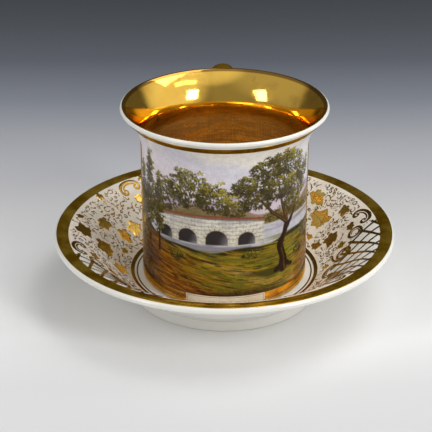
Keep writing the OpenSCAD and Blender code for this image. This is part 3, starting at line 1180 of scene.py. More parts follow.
    def leaf_outline(self, angle: float, kind: float) -> float:
        """Share of a vine leaf's size that its outline reaches.

        Args:
            angle: Direction from the leaf's middle, with the tip at a quarter turn.
            kind: Any number; it varies the lobes from leaf to leaf.

        Returns:
            Distance from the middle, for a leaf of unit size.
        """
        reach = self.leaf_core
        for index, (middle, length, width) in enumerate(self.lobes):
            away = abs((math.degrees(angle) - middle + 180) % 360 - 180)
            grown = length * (1 + 0.17 * math.sin(2.3 * index + kind))
            reach = max(reach, grown * (1 - 0.52 * (away / width) ** 1.5) if away < width else 0)
        return reach * (1 + self.tooth * math.cos(self.leaf_teeth * angle + kind))

    @staticmethod
    def fan(bm: Shape, edges: list[Edge]) -> list[Vert]:
        """Close a ring of edges with a fan of triangles and return its middle point."""
        cap = bmesh.ops.contextual_create(bm, geom=edges)["faces"]
        return bmesh.ops.poke(bm, faces=cap)["verts"]

    def leaf(self, bm: Shape, motif: Motif, uv: Layer, shade: Layer) -> None:
        """Add one lobed leaf, built up in rings from its edge to a crowned middle.

        Args:
            bm: Shape that the leaf is added to.
            motif: Its place.
            uv: Map that keeps the leaf's own drawing, for its veins.
            shade: Layer that keeps the leaf's painted shade.
        """
        made = bmesh.ops.create_circle(bm, segments=self.leaf_sides, radius=1.0)["verts"]
        edges = list({e for v in made for e in v.link_edges})
        low = self.stroke_lift - self.leaf_sink
        rings = [(made, 1.0, low), (self.fan(bm, edges), 0.0, low)]
        for share, lift in self.leaf_rings:
            grown = bmesh.ops.extrude_edge_only(bm, edges=edges)["geom"]
            edges = [g for g in grown if isinstance(g, Edge)]
            rings.append(([g for g in grown if isinstance(g, Vert)], share, self.leaf_lift * lift))
        rings.append((self.fan(bm, edges), 0.0, self.leaf_lift))
        for verts, share, lift in rings:
            for vert in verts:
                angle = math.atan2(vert.co.y, vert.co.x)
                reach = share * self.leaf_outline(angle, motif.azimuth)
                drawn = np.array([[reach * math.cos(angle), reach * math.sin(angle)]])
                for loop in vert.link_loops:
                    loop[uv].uv = drawn[0]
                x, y = self.plan(motif, drawn)[0]
                vert.co = (x, y, lift)
                # painted shade of the leaf
                vert[shade] = motif.shade

    def leaves(self) -> Piece:
        """Make all vine leaves, and the small leaves in the scroll borders.

        Returns:
            The new piece.
        """
        bm = bmesh.new()
        uv = bm.loops.layers.uv.new(LeafGold.uv_map)
        # layer of painted shade for the darker leaves
        shade = bm.verts.layers.float.new(LeafGold.painted_shade_layer)
        motifs = [motif for sector in self.leaves_by_sector for motif in sector]
        motifs += [self.mirrored(m, *place) for m in self.border_leaves for place in self.border_places()]
        for motif in motifs:
            self.leaf(bm, motif, uv, shade)
        self.saucer.drape(bm)
        return finished("vine_leaves", bm, SOFT_CREASE)

    def border_places(self) -> list[tuple[float, int]]:
        """List the middle of each reserve, in degrees, with each of its two sides."""
        middles = [self.saucer.reserve_turn + self.sector_turn * i for i in range(self.saucer.reserve_count)]
        return [(middle, side) for middle in middles for side in (1, -1)]

    @staticmethod
    def mirrored(motif: Motif, middle: float, side: int) -> Motif:
        """Place a motif of the half border on one side of a reserve."""
        return replace(motif, azimuth=middle + side * motif.azimuth, turn=side * motif.turn)

    def tubes(self, name: str, strokes: Sequence[Stroke], lift: float, flat: float, sides: int) -> Piece:
        """Make raised strokes from plan paths.

        Args:
            name: Name of the piece.
            strokes: Plan points and half-widths of each stroke.
            lift: Height of the strokes' middle above the porcelain.
            flat: Share of a stroke's half-width that it stands up.
            sides: Bevel steps of a stroke's round section.

        Returns:
            The new piece.
        """
        curve = bpy.data.curves.new(name, "CURVE")
        curve.dimensions = "3D"
        curve.bevel_depth = 1.0
        curve.bevel_resolution = sides
        curve.use_fill_caps = True
        for path, widths in strokes:
            spline = curve.splines.new("POLY")
            spline.points.add(len(path) - 1)
            for point, (x, y), width in zip(spline.points, path, widths):
                point.co = (x, y, 0.0, 1.0)
                point.radius = width
        holder = bpy.data.objects.new(name, curve)
        mesh = bpy.data.meshes.new_from_object(holder)
        bm = bmesh.new()
        bm.from_mesh(mesh)
        for vert in bm.verts:
            vert.co.z = lift + flat * vert.co.z
        self.saucer.drape(bm)
        bpy.data.objects.remove(holder)
        bpy.data.curves.remove(curve)
        bpy.data.meshes.remove(mesh)
        return finished(name, bm, SOFT_CREASE)

    def border_edge(self, radius: float) -> float:
        """Angle from a reserve's middle, in degrees, where its scroll border ends, at a radius in mm."""
        return float(np.interp(radius, self.border_radii, self.border_turns))

    def free_places(self, count: int, sizes: Range, taken: list[Motif]) -> list[Motif]:
        """Find places for small motifs between the leaves and the scroll borders.

        Args:
            count: Number of motifs in each sector.
            sizes: Least and greatest size in mm.
            taken: Motifs that are already there, to which the new ones are added.

        Returns:
            The new motifs.
        """
        found: list[Motif] = []
        own, other = self.spacing
        for index in range(self.saucer.reserve_count):
            placed = 0
            for _ in range(self.tries * count):
                offset, radius = self.rng.uniform(0, self.sector_turn), self.rng.uniform(*self.vine_radii)
                size = self.rng.uniform(*sizes)
                if min(offset, self.sector_turn - offset) < self.border_edge(radius) + self.border_gap:
                    continue
                azimuth = self.saucer.reserve_turn + self.sector_turn * index + offset
                trial = Motif(azimuth, radius, size, self.rng.uniform(0, 360))
                if any(self.apart(trial, near) < own * size + other * near.size for near in taken):
                    continue
                taken.append(trial)
                found.append(trial)
                placed += 1
                if placed == count:
                    break
        return found

    @staticmethod
    def apart(first: Motif, second: Motif) -> float:
        """Distance between two motifs along the plan.

        Args:
            first, second: The motifs.

        Returns:
            Distance in mm.
        """
        turn = math.radians(first.azimuth - second.azimuth)
        square = first.radius ** 2 + second.radius ** 2 - 2 * first.radius * second.radius * math.cos(turn)
        return math.sqrt(max(0.0, square))

    def tendrils(self) -> Piece:
        """Make the fine curls, waves and berries between the leaves.

        Returns:
            The new piece.
        """
        taken = [motif for sector in self.leaves_by_sector for motif in sector]
        strokes = []
        for motif in self.free_places(self.curls, self.curl_sizes, taken):
            wavy = self.rng.random() < self.wave_share
            kind, most = (Flourish.S_SCROLL, self.wave_bend) if wavy else (Flourish.CURL, self.curl_bend)
            drawing = self.stroke(kind, 8, self.rng.uniform(0.35, 1.0) * most) * (self.rng.choice((-1, 1)), 1)
            strokes.append((self.plan(motif, drawing), np.linspace(*self.curl_width, len(drawing)) * MM))
        dot = np.array([[-0.25, 0.0], [-0.1, 0.0], [0.1, 0.0], [0.25, 0.0]])
        berries = ((-0.5, -0.3), (0.5, -0.3), (0.0, 0.5))
        for motif in self.free_places(self.dots, self.dot_sizes, taken):
            spots = ((0.0, 0.0),) if motif.size < self.cluster_size else berries
            share = math.sqrt(len(spots))
            for spot in spots:
                path = self.plan(motif, dot / share + np.array(spot))
                strokes.append((path, np.array((0.3, 0.55, 0.55, 0.3)) * motif.size / share * MM))
        return self.tubes("vine_tendrils", strokes, self.stroke_lift, 2 * self.line_height, 1)

    def beads(self) -> list[Stroke]:
        """Lay out the beads along both sides of each reserve.

        Returns:
            Plan points and half-widths of each bead.
        """
        strokes = []
        saucer, reach = self.saucer, self.saucer.reserve_radius
        start, end = (math.radians(turn) for turn in self.bead_span)
        widths = self.bead_size * np.array((0.5, 1.0, 1.0, 0.5))
        for middle, side in self.border_places():
            turn = math.radians(middle)
            for way in np.arange(start, end, self.bead_pitch / reach):
                centre = saucer.reserve_middle + reach * math.cos(way)
                along = centre + np.linspace(-0.5, 0.5, len(widths)) * self.bead_size
                across = side * reach * math.sin(way)
                path = np.stack([along * math.cos(turn) - across * math.sin(turn),
                                 along * math.sin(turn) + across * math.cos(turn)], axis=1)
                if np.hypot(*path.mean(axis=0)) < saucer.band_in - self.bead_pitch:
                    strokes.append((path, widths))
        return strokes

    def scrolls(self) -> Piece:
        """Make the scroll borders of the reserves, each stroke with a fine line inside it, and their beads.

        Returns:
            The new piece.
        """
        strokes = self.beads()
        for motif in self.half_border:
            drawing = self.stroke(motif.flourish, self.scroll_points, self.scroll_bend)
            swell = 1 - 0.5 * np.abs(np.linspace(-1, 1, len(drawing))) ** 2
            step = np.gradient(drawing, axis=0)
            normal = np.stack([-step[:, 1], step[:, 0]], axis=1) / np.linalg.norm(step, axis=1)[:, None]
            inner = (drawing + self.inner_gap * normal)[self.inner_start:self.inner_end]
            for middle, side in self.border_places():
                if side < 0 and motif.azimuth == 0:
                    continue
                spot, flip = self.mirrored(motif, middle, side), np.array([side, 1.0])
                strokes.append((self.plan(spot, drawing * flip), self.scroll_width * motif.size * MM * swell))
                thin = np.full(len(inner), self.inner_width * motif.size * MM)
                strokes.append((self.plan(spot, inner * flip), thin))
        return self.tubes("scroll_borders", strokes, self.stroke_lift, self.line_height, 2)

    def trellis(self) -> Piece:
        """Make the crossing lines in the reserves.

        Returns:
            The new piece.
        """
        strokes = []
        saucer, reach = self.saucer, self.saucer.reserve_radius
        s = np.arange(-reach, reach, self.trellis_step)
        for index in range(saucer.reserve_count):
            turn = math.radians(saucer.reserve_turn + self.sector_turn * index)
            outward = np.array([math.cos(turn), math.sin(turn)])
            across = np.array([-math.sin(turn), math.cos(turn)])
            for lean in (math.radians(self.trellis_angle), math.radians(-self.trellis_angle)):
                along = math.cos(lean) * across + math.sin(lean) * outward
                aside = -math.sin(lean) * across + math.cos(lean) * outward
                for step in np.arange(-reach, reach, self.trellis_pitch) + self.trellis_pitch / 2:
                    path = outward * saucer.reserve_middle + aside * step + s[:, None] * along
                    inside = np.hypot(s, step) < reach + self.trellis_over
                    path = path[inside & (np.hypot(path[:, 0], path[:, 1]) < saucer.band_in + self.band_over)]
                    if len(path) > 3:
                        strokes.append((path, np.full(len(path), self.trellis_line)))
        return self.tubes("trellis_lines", strokes, self.trellis_lift, 0.5 * self.line_height, 2)

    def build(self, effects: Effects) -> None:
        """Make and dress the ornament.

        Args:
            effects: Shared shader groups.
        """
        leaf = LeafGold("vine_leaf_gold", bright=(0.92, 0.64, 0.17, 1.0), deep=(0.70, 0.46, 0.10, 1.0),
                        rough=0.36, across=2600.0, patch_size=420.0).material(effects)
        line = FiredGold("drawn_line_gold", bright=(0.34, 0.20, 0.035, 1.0), deep=(0.20, 0.11, 0.02, 1.0),
                         worn_and_shade=(0.10, 0.052, 0.014, 1.0), smooth=0.22, rough=0.4,
                         patch_size=600.0).material(effects)
        settle(self.leaves(), leaf, Body.SAUCER, Slot.GOLD)
        settle(self.tendrils(), line, Body.SAUCER, Slot.GOLD)
        settle(self.scrolls(), line, Body.SAUCER, Slot.GOLD)
        settle(self.trellis(), line, Body.SAUCER, Slot.GOLD)


@dataclass(frozen=True)
class Clump:
    """A clump of leaves in the view: its middle and half-sizes in mm, and how sunlit it is."""

    x: float
    y: float
    across: float
    up: float
    light: float


@dataclass
class RiverView:
    """A made-up river view, painted dab by dab on a grid of points, in millimetres on the cup."""

    width: float
    height: float
    columns: int = 384
    rows: int = 250
    seed: int = 5
    far_hills: float = 46.0
    near_hills: float = 40.5
    hedge_height: float = 35.4
    water_height: float = 33.4
    shore_height: float = 20.5
    bridge_ends: Range = (-34.0, 17.0)
    bridge_foot: float = 25.0
    bridge_top: float = 36.0
    course: float = 1.9
    stone_length: float = 3.0
    arch_rise: float = 2.2
    arches: tuple[Range, ...] = ((-28.0, 3.3), (-17.0, 4.4), (-4.0, 4.8), (9.0, 3.8))
    bank_strokes: tuple[tuple[float, int], ...] = ((14.0, 260), (7.0, 800), (3.0, 450))
    grass_blades: int = 300
    poplar_foot: float = 17.0
    poplars: tuple[tuple[float, float, float], ...] = ((-46.5, 36, 4.0), (-39.5, 43, 4.4), (-32.6, 34, 3.6))
    poplar_parts: tuple[Range, ...] = ((0.34, 0.9), (0.50, 1.05), (0.66, 1.0), (0.82, 0.75), (0.95, 0.42))
    limbs: tuple[tuple[tuple[Point, ...], Range], ...] = (
        (((23.0, 9.2), (26.5, 11), (27.4, 14)), (1.0, 1.6)),
        (((33.0, 9.4), (29.5, 11), (27.8, 15)), (0.8, 1.5)),
        (((27.6, 10), (27.0, 16), (25.4, 21), (28.4, 27), (29.4, 32), (26.5, 40), (24.0, 52)), (2.5, 0.6)),
        (((28.8, 28), (33.0, 33), (38.0, 45)), (1.3, 0.4)),
        (((28.6, 32), (21.0, 38), (14.0, 46)), (1.2, 0.35)),
    )
    grove: tuple[Clump, ...] = (
        Clump(-27, 45, 8.5, 7.5, 0.8), Clump(-16, 50, 10.5, 9.0, 0.95), Clump(-5, 46, 8.5, 7.5, 1.25),
        Clump(4, 41, 6.0, 4.0, 1.1),
    )
    crown: tuple[Clump, ...] = (
        Clump(13, 46, 8.5, 6.0, 0.7), Clump(24, 50, 10.5, 7.5, 1.0), Clump(35, 46, 9.0, 7.0, 1.3),
        Clump(8, 52, 6.5, 4.6, 0.75), Clump(41, 52, 6.5, 6.0, 1.0), Clump(18, 58, 8.5, 5.6, 0.85),
        Clump(31, 59, 9.5, 6.2, 1.15), Clump(33, 39, 6.5, 3.8, 0.8), Clump(25, 63, 7.0, 3.6, 1.05),
    )
    bushes: tuple[Clump, ...] = (
        Clump(-49, 20, 6, 4, 0.75), Clump(46, 22, 7, 4.6, 0.75), Clump(39, 15, 4.5, 2.6, 0.75),
        Clump(-22, 17, 4.5, 2.2, 0.75), Clump(11, 19, 4, 1.6, 0.75),
    )

    def __post_init__(self) -> None:
        """Lay out the grid and seed the brush."""
        self.x, self.y = np.meshgrid(np.linspace(-self.width / 2, self.width / 2, self.columns + 1),
                                     np.linspace(0, self.height, self.rows + 1))
        self.rgb = np.zeros((*self.x.shape, 3))
        self.rng = np.random.default_rng(self.seed)

    def grain(self, size: float, stretch: float = 1.0, octaves: int = 4) -> np.ndarray:
        """Cloudy values from 0 to 1 over the grid.

        Args:
            size: Size of the largest clouds.
            stretch: How much wider than high they are.
            octaves: Number of finer layers.

        Returns:
            One value for each point.
        """
        total = np.zeros_like(self.x)
        for octave in range(octaves):
            step = size / 2 ** octave
            u, v = (self.x + self.width / 2) / (step * stretch), self.y / step
            knots = self.rng.random((int(v.max()) + 2, int(u.max()) + 2))
            i, j = v.astype(int), u.astype(int)
            fu, fv = u - j, v - i
            fu, fv = fu * fu * (3 - 2 * fu), fv * fv * (3 - 2 * fv)
            low = knots[i, j] * (1 - fu) + knots[i, j + 1] * fu
            high = knots[i + 1, j] * (1 - fu) + knots[i + 1, j + 1] * fu
            total += (low * (1 - fv) + high * fv) / 2 ** octave
        return total / (2 - 2 ** (1 - octaves))

    def wash(self, mask: np.ndarray, colour: np.ndarray) -> None:
        """Lay a colour over the grid, as far as a mask says."""
        self.rgb += (colour - self.rgb) * np.clip(mask, 0, 1)[..., None]

    def dab(self, x: float, y: float, length: float, width: float, angle: float, colour: np.ndarray,
            strength: float = 0.85) -> None:
        """Set down one dab of the brush.

        Args:
            x, y: Its middle.
            length, width: Its half-length and half-width.
            angle: Its direction.
            colour: Its colour.
            strength: How far it covers.
        """
        reach = 1.1 * max(length, width)
        cols = slice(*np.searchsorted(self.x[0], (x - reach, x + reach)))
        rows = slice(*np.searchsorted(self.y[:, 0], (y - reach, y + reach)))
        dx, dy = self.x[rows, cols] - x, self.y[rows, cols] - y
        cos, sin = math.cos(angle), math.sin(angle)
        along, aside = dx * cos + dy * sin, dy * cos - dx * sin
        mask = np.clip(1.7 * (1 - (along / length) ** 2 - (aside / width) ** 2), 0, 1) * strength
        self.rgb[rows, cols] += (colour - self.rgb[rows, cols]) * mask[..., None]

    def foliage(self, clump: Clump, leaf: float) -> None:
        """Paint a clump: dark underpainting, then fans of small strokes, sunlit towards the upper right.

        Args:
            clump: Its place, size and light.
            leaf: Half-length of a stroke.
        """
        x, y, across, up = clump.x, clump.y, clump.across, clump.up
        pigments = (Pigment.MOSS, Pigment.LEAF, Pigment.SUNLIT, Pigment.GLINT)
        tones = np.array([pigment.tone for pigment in pigments])
        moss, brown = Pigment.MOSS.tone, Pigment.BROWN_LEAF.tone
        for _ in range(int(5.4 * across * up)):
            turn, far = self.rng.uniform(0, FULL_TURN), 0.9 * math.sqrt(self.rng.random())
            spot = (x + across * far * math.cos(turn), y + up * far * math.sin(turn))
            self.dab(*spot, leaf * self.rng.uniform(0.8, 1.7), 0.6 * leaf, turn + self.rng.normal(0, 0.6),
                     moss * self.rng.uniform(0.9, 1.6), 0.7)
        tufts = []
        for _ in range(max(4, int(0.75 * across * up))):
            turn, far = self.rng.uniform(0, FULL_TURN), math.sqrt(self.rng.random())
            far *= 1 + 0.16 * math.sin(5 * turn + x)
            lit = clump.light * (0.43 + 0.62 * far * math.cos(turn - 0.9))
            tufts.append((turn, far, lit, self.rng.uniform(0.8, 1.9)))
        for turn, far, lit, size in sorted(tufts, key=lambda tuft: tuft[2]):
            middle = np.array((x + across * far * math.cos(turn), y + up * far * math.sin(turn)))
            warm = self.rng.uniform(0, 0.45)
            for stage, count in enumerate((7, 9, 6)):
                for _ in range(count):
                    way = self.rng.uniform(-0.5, math.pi + 0.5)
                    off = size * (1.1 - 0.2 * stage) * math.sqrt(self.rng.random())
                    level = np.clip(3 * (lit * (0.16 + 0.34 * stage) + self.rng.normal(0, 0.1)), 0, 3)
                    colour = np.array([np.interp(level, range(4), tones[:, c]) for c in range(3)])
                    spot = middle + off * np.array((math.cos(way), math.sin(way)))
                    spot = spot + (0.2 * stage, 0.15 * stage)
                    self.dab(*spot, leaf * self.rng.uniform(0.7, 1.5), 0.42 * leaf,
                             way + self.rng.normal(0, 0.5),
                             colour + (brown - colour) * warm * (1 - 0.35 * stage), 0.75)

    def limb(self, points: Sequence[Point], start: float, end: float) -> None:
        """Paint a trunk or branch with its light on the right.

        Args:
            points: Points along it, from the root.
            start, end: Half-width at the root and at the tip.
        """
        path = np.array(points)
        knots = np.linspace(0, 1, len(path))
        bark, dark = Pigment.BARK.tone, Pigment.DARK_EARTH.tone
        for t in np.linspace(0, 1, 110):
            px, py = np.interp(t, knots, path[:, 0]), np.interp(t, knots, path[:, 1])
            half = (start + (end - start) * t) * (1 + 0.12 * math.sin(19 * t + px))
            self.dab(px, py, 1.25 * half, half, 1.5, dark)
            warm = np.clip(bark * self.rng.uniform(0.8, 1.6), 0, 1)
            self.dab(px + 0.4 * half, py, 1.0 * half, 0.32 * half, 1.5, warm, 0.8)

    def sky(self) -> None:
        """Paint the sky, from lavender above to a warm haze, with drifting clouds."""
        haze, zenith = Pigment.HAZE.tone, Pigment.ZENITH.tone
        share = ease(self.y + 0.25 * self.x, 0.45 * self.height, 1.05 * self.height)[..., None]
        self.rgb[:] = haze + (zenith - haze) * share
        drift = self.grain(24, 2.2, 5) + 0.004 * self.x
        self.wash(0.85 * ease(drift, 0.45, 0.62), Pigment.CLOUD.tone)
        self.wash(0.4 * ease(self.grain(15, 2.6, 4), 0.52, 0.75), zenith)

    def hills(self) -> None:
        """Paint two ranges of hills, the farther one bluer."""
        x, y = self.x, self.y
        far = self.far_hills + 3.4 * np.sin(x / 15 + 0.6) + 1.6 * np.sin(x / 5.3)
        self.wash(0.8 * ease(far - y, -0.8, 1.0), Pigment.FAR_HILL.tone)
        self.wash(0.6 * ease(far - y, 0.5, 7.0), Pigment.HAZE.tone)
        near = self.near_hills + 2.6 * np.sin(x / 12 + 2.4) + 0.9 * np.sin(x / 3.1)
        self.wash(0.9 * ease(near - y, -0.5, 0.6), Pigment.NEAR_HILL.tone)
        self.wash(0.6 * ease(near - y, 0, 4) * ease(self.grain(7, 2.5), 0.35, 0.65), Pigment.LEAF.tone)

    def far_bank(self) -> None:
        """Paint the hedges and a grove on the far bank, and the river with level streaks in it."""
        for px in np.arange(-50, 52, 3.3):
            self.foliage(Clump(px, self.hedge_height + self.rng.normal(0, 0.6), 2.8, 2.0, 0.7), 0.4)
        for clump in self.grove:
            self.foliage(clump, 0.5)
        inside = ease(self.water_height - self.y, -0.3, 0.5)
        self.wash(inside, Pigment.WATER.tone)
        self.wash(0.6 * inside * ease(self.grain(2.2, 9.0, 3), 0.5, 0.72), Pigment.FAR_HILL.tone)
        self.wash(0.5 * inside * ease(self.grain(1.6, 12.0, 2), 0.62, 0.8), Pigment.LEAF.tone)

    def bridge(self) -> None:
        """Paint a pale stone bridge of four arches with a brick coping."""
        x, y, foot = self.x, self.y, self.bridge_foot
        left, right = self.bridge_ends
        middle, half = (left + right) / 2, (right - left) / 2
        shade, stone = Pigment.STONE_SHADE.tone, Pigment.STONE.tone
        top = self.bridge_top + 2.2 * (1 - ((x - middle) / half) ** 2) + 0.5 * (self.grain(5) - 0.5)
        along = ease(x, left - 0.4, left + 0.4) * ease(right - x, -0.4, 0.4)
        body = along * ease(top - y, -0.2, 0.2) * ease(y - foot, -0.2, 0.2)
        self.wash(body, stone)
        self.wash(0.3 * body * ease(self.grain(2.4, 2.6, 3), 0.45, 0.7), shade + (0.1, 0.08, 0.1))
        lines = y - foot + 0.5 * (self.grain(6) - 0.5)
        courses = ease(np.abs(lines % self.course - self.course / 2), 0.24, 0.08)
        bond = self.stone_length / 2
        joints = ease(np.abs((x + bond * (lines // self.course % 2)) % self.stone_length - bond), 0.26, 0.06)
        self.wash(0.55 * body * np.maximum(courses, 0.8 * joints) * (0.4 + self.grain(3)), shade)
        for middle, radius in self.arches:
            above = np.maximum(0, y - foot - self.arch_rise)
            gap = np.hypot(x - middle, above) - radius
            way = np.degrees(np.arctan2(above, x - middle))
            ring = body * ease(np.abs(gap - 0.55), 0.65, 0.45)
            self.wash(0.9 * ring, stone * (0.93, 0.9, 0.84))
            self.wash(0.6 * ring * ease(np.abs(way % 22 - 11), 3.4, 1.6), shade)
            arch = body * ease(-gap, -0.2, 0.3)
            self.wash(arch, shade * (0.5, 0.46, 0.46))
            light = ease(x - middle + 0.5 * (foot - y), -0.2 * radius, 0.9 * radius)
            self.wash(arch * light * (0.35 + 0.5 * self.grain(1.2, 3.0, 2)), Pigment.WATER.tone * 0.9)
        for _ in range(260):
            px, py = self.rng.uniform(left, right), self.rng.uniform(foot + 0.5, self.bridge_top)
            if self.rgb[np.searchsorted(y[:, 0], py), np.searchsorted(x[0], px)].sum() > 1.9:
                length, lean = self.rng.uniform(0.4, 1.0), self.rng.normal(0, 0.2)
                self.dab(px, py, length, 0.25, lean, stone * self.rng.uniform(0.86, 1.06), 0.6)
        self.wash(0.85 * along * ease(np.abs(y - top), 0.75, 0.5), Pigment.BRICK.tone)
        self.wash(0.6 * along * ease(np.abs(y - top + 0.95), 0.45, 0.15), shade * 0.7)
        mirror = along * ease(foot - y, 0, 0.4) * ease(y - 17.0, 0, 6.0)
        self.wash(0.5 * mirror * ease(self.grain(1.4, 6.0, 3), 0.35, 0.6), shade)

    def bank(self) -> None:
        """Paint the near bank in long strokes: warm earth, grass, a path and dark earth below."""
        x, y = self.x, self.y
        shore = self.shore_height + 2.8 * np.sin(x / 19 + 0.4) + 0.7 * np.sin(x / 4.1) + 0.004 * (x - 8) ** 2
        ground = ease(shore - y, -0.4, 0.5)
        warm = ease(0.6 * (12 - y) - 0.4 * x + 16 * (self.grain(9, 3.0) - 0.5), -2, 13)
        warm = np.maximum(warm, 0.7 * ease(x - 26 - 0.8 * y + 18 * (self.grain(8, 3.0) - 0.5), -4, 10))
        self.wash(ground, Pigment.GRASS.tone)
        self.wash(ground * warm, Pigment.RUST.tone)
        self.wash(0.9 * ease(1.2 - np.abs(y - shore + 0.8), -0.3, 0.6), Pigment.MOSS.tone)
        slope = ease(shore - y, 0.3, 1.0)
        path = np.abs(x + 24 - 2.6 * (shore - y) + 4 * np.sin(y / 3.3)) - (1.2 + 0.22 * (shore - y))
        self.wash(0.6 * slope * ease(-path, -0.8, 0.8), Pigment.HAZE.tone * (0.95, 0.76, 0.6))
        cool = (Pigment.GRASS, Pigment.LEAF, Pigment.SUNLIT, Pigment.MOSS, Pigment.GRASS, Pigment.OCHRE)
        hot = (Pigment.RUST, Pigment.EARTH, Pigment.OCHRE, Pigment.EARTH, Pigment.OCHRE, Pigment.DARK_EARTH)
        for longest, count in self.bank_strokes:
            for _ in range(count):
                row, col = self.rng.integers(int(0.35 * self.rows)), self.rng.integers(self.columns)
                if slope[row, col] < 0.9:
                    continue
                pick = (hot if self.rng.random() < warm[row, col] else cool)[self.rng.integers(6)]
                lean = -0.22 * math.cos(x[row, col] / 24 + 0.6) + self.rng.normal(0, 0.06)
                length, width = self.rng.uniform(0.4, 1.0) * longest, self.rng.uniform(0.2, 0.5)
                strength = self.rng.uniform(0.3, 0.65)
                self.dab(x[row, col], y[row, col], length, width, lean, pick.tone, strength)
        dark = Pigment.DARK_EARTH.tone
        self.wash(0.75 * ease(3.6 + 1.6 * np.sin(x / 9 + 1) - y, 0, 5.0), dark)
        self.wash(0.55 * ground * ease(-x - 33 + 9 * self.grain(7), 0, 14), dark)
        blades = (Pigment.GRASS, Pigment.LEAF, Pigment.OCHRE, Pigment.RUST)
        for _ in range(self.grass_blades):
            px, py, tall = self.rng.uniform(-49, 49), self.rng.uniform(0, 5.0), self.rng.uniform(0.6, 1.8)
            pick = blades[self.rng.integers(len(blades))]
            self.dab(px, py + tall, tall, 0.2, 1.57 + self.rng.normal(0, 0.4), pick.tone, 0.3)

    def trees(self) -> None:
        """Paint a row of poplars on the left, a spreading tree on the right and bushes on the bank."""
        foot = self.poplar_foot
        for px, tall, half in self.poplars:
            self.limb(((px, foot), (px + 0.3, foot + 10), (px, foot + 0.9 * tall)), 0.8, 0.25)
            for part, wide in self.poplar_parts:
                self.foliage(Clump(px, foot + part * tall, half * wide, 0.15 * tall, 0.85), 0.5)
        shadow = np.hypot((self.x - 21) / 15, (self.y - 9.5) / 2.4) + 0.5 * (self.grain(4, 3.0) - 0.5)
        self.wash(0.6 * ease(shadow, 1.0, 0.5), Pigment.MOSS.tone)
        for points, (start, end) in self.limbs:
            self.limb(points, start, end)
        for clump in self.crown:
            self.foliage(clump, 0.55)
        for clump in self.bushes:
            self.foliage(clump, 0.45)

    def paint(self) -> np.ndarray:
        """Paint the whole view.

        Returns:
            Linear colours for each row and column of the grid.
        """
        for step in (self.sky, self.hills, self.far_bank, self.bridge, self.bank, self.trees):
            step()
        return uncurved(np.clip(self.rgb, 0, 1))


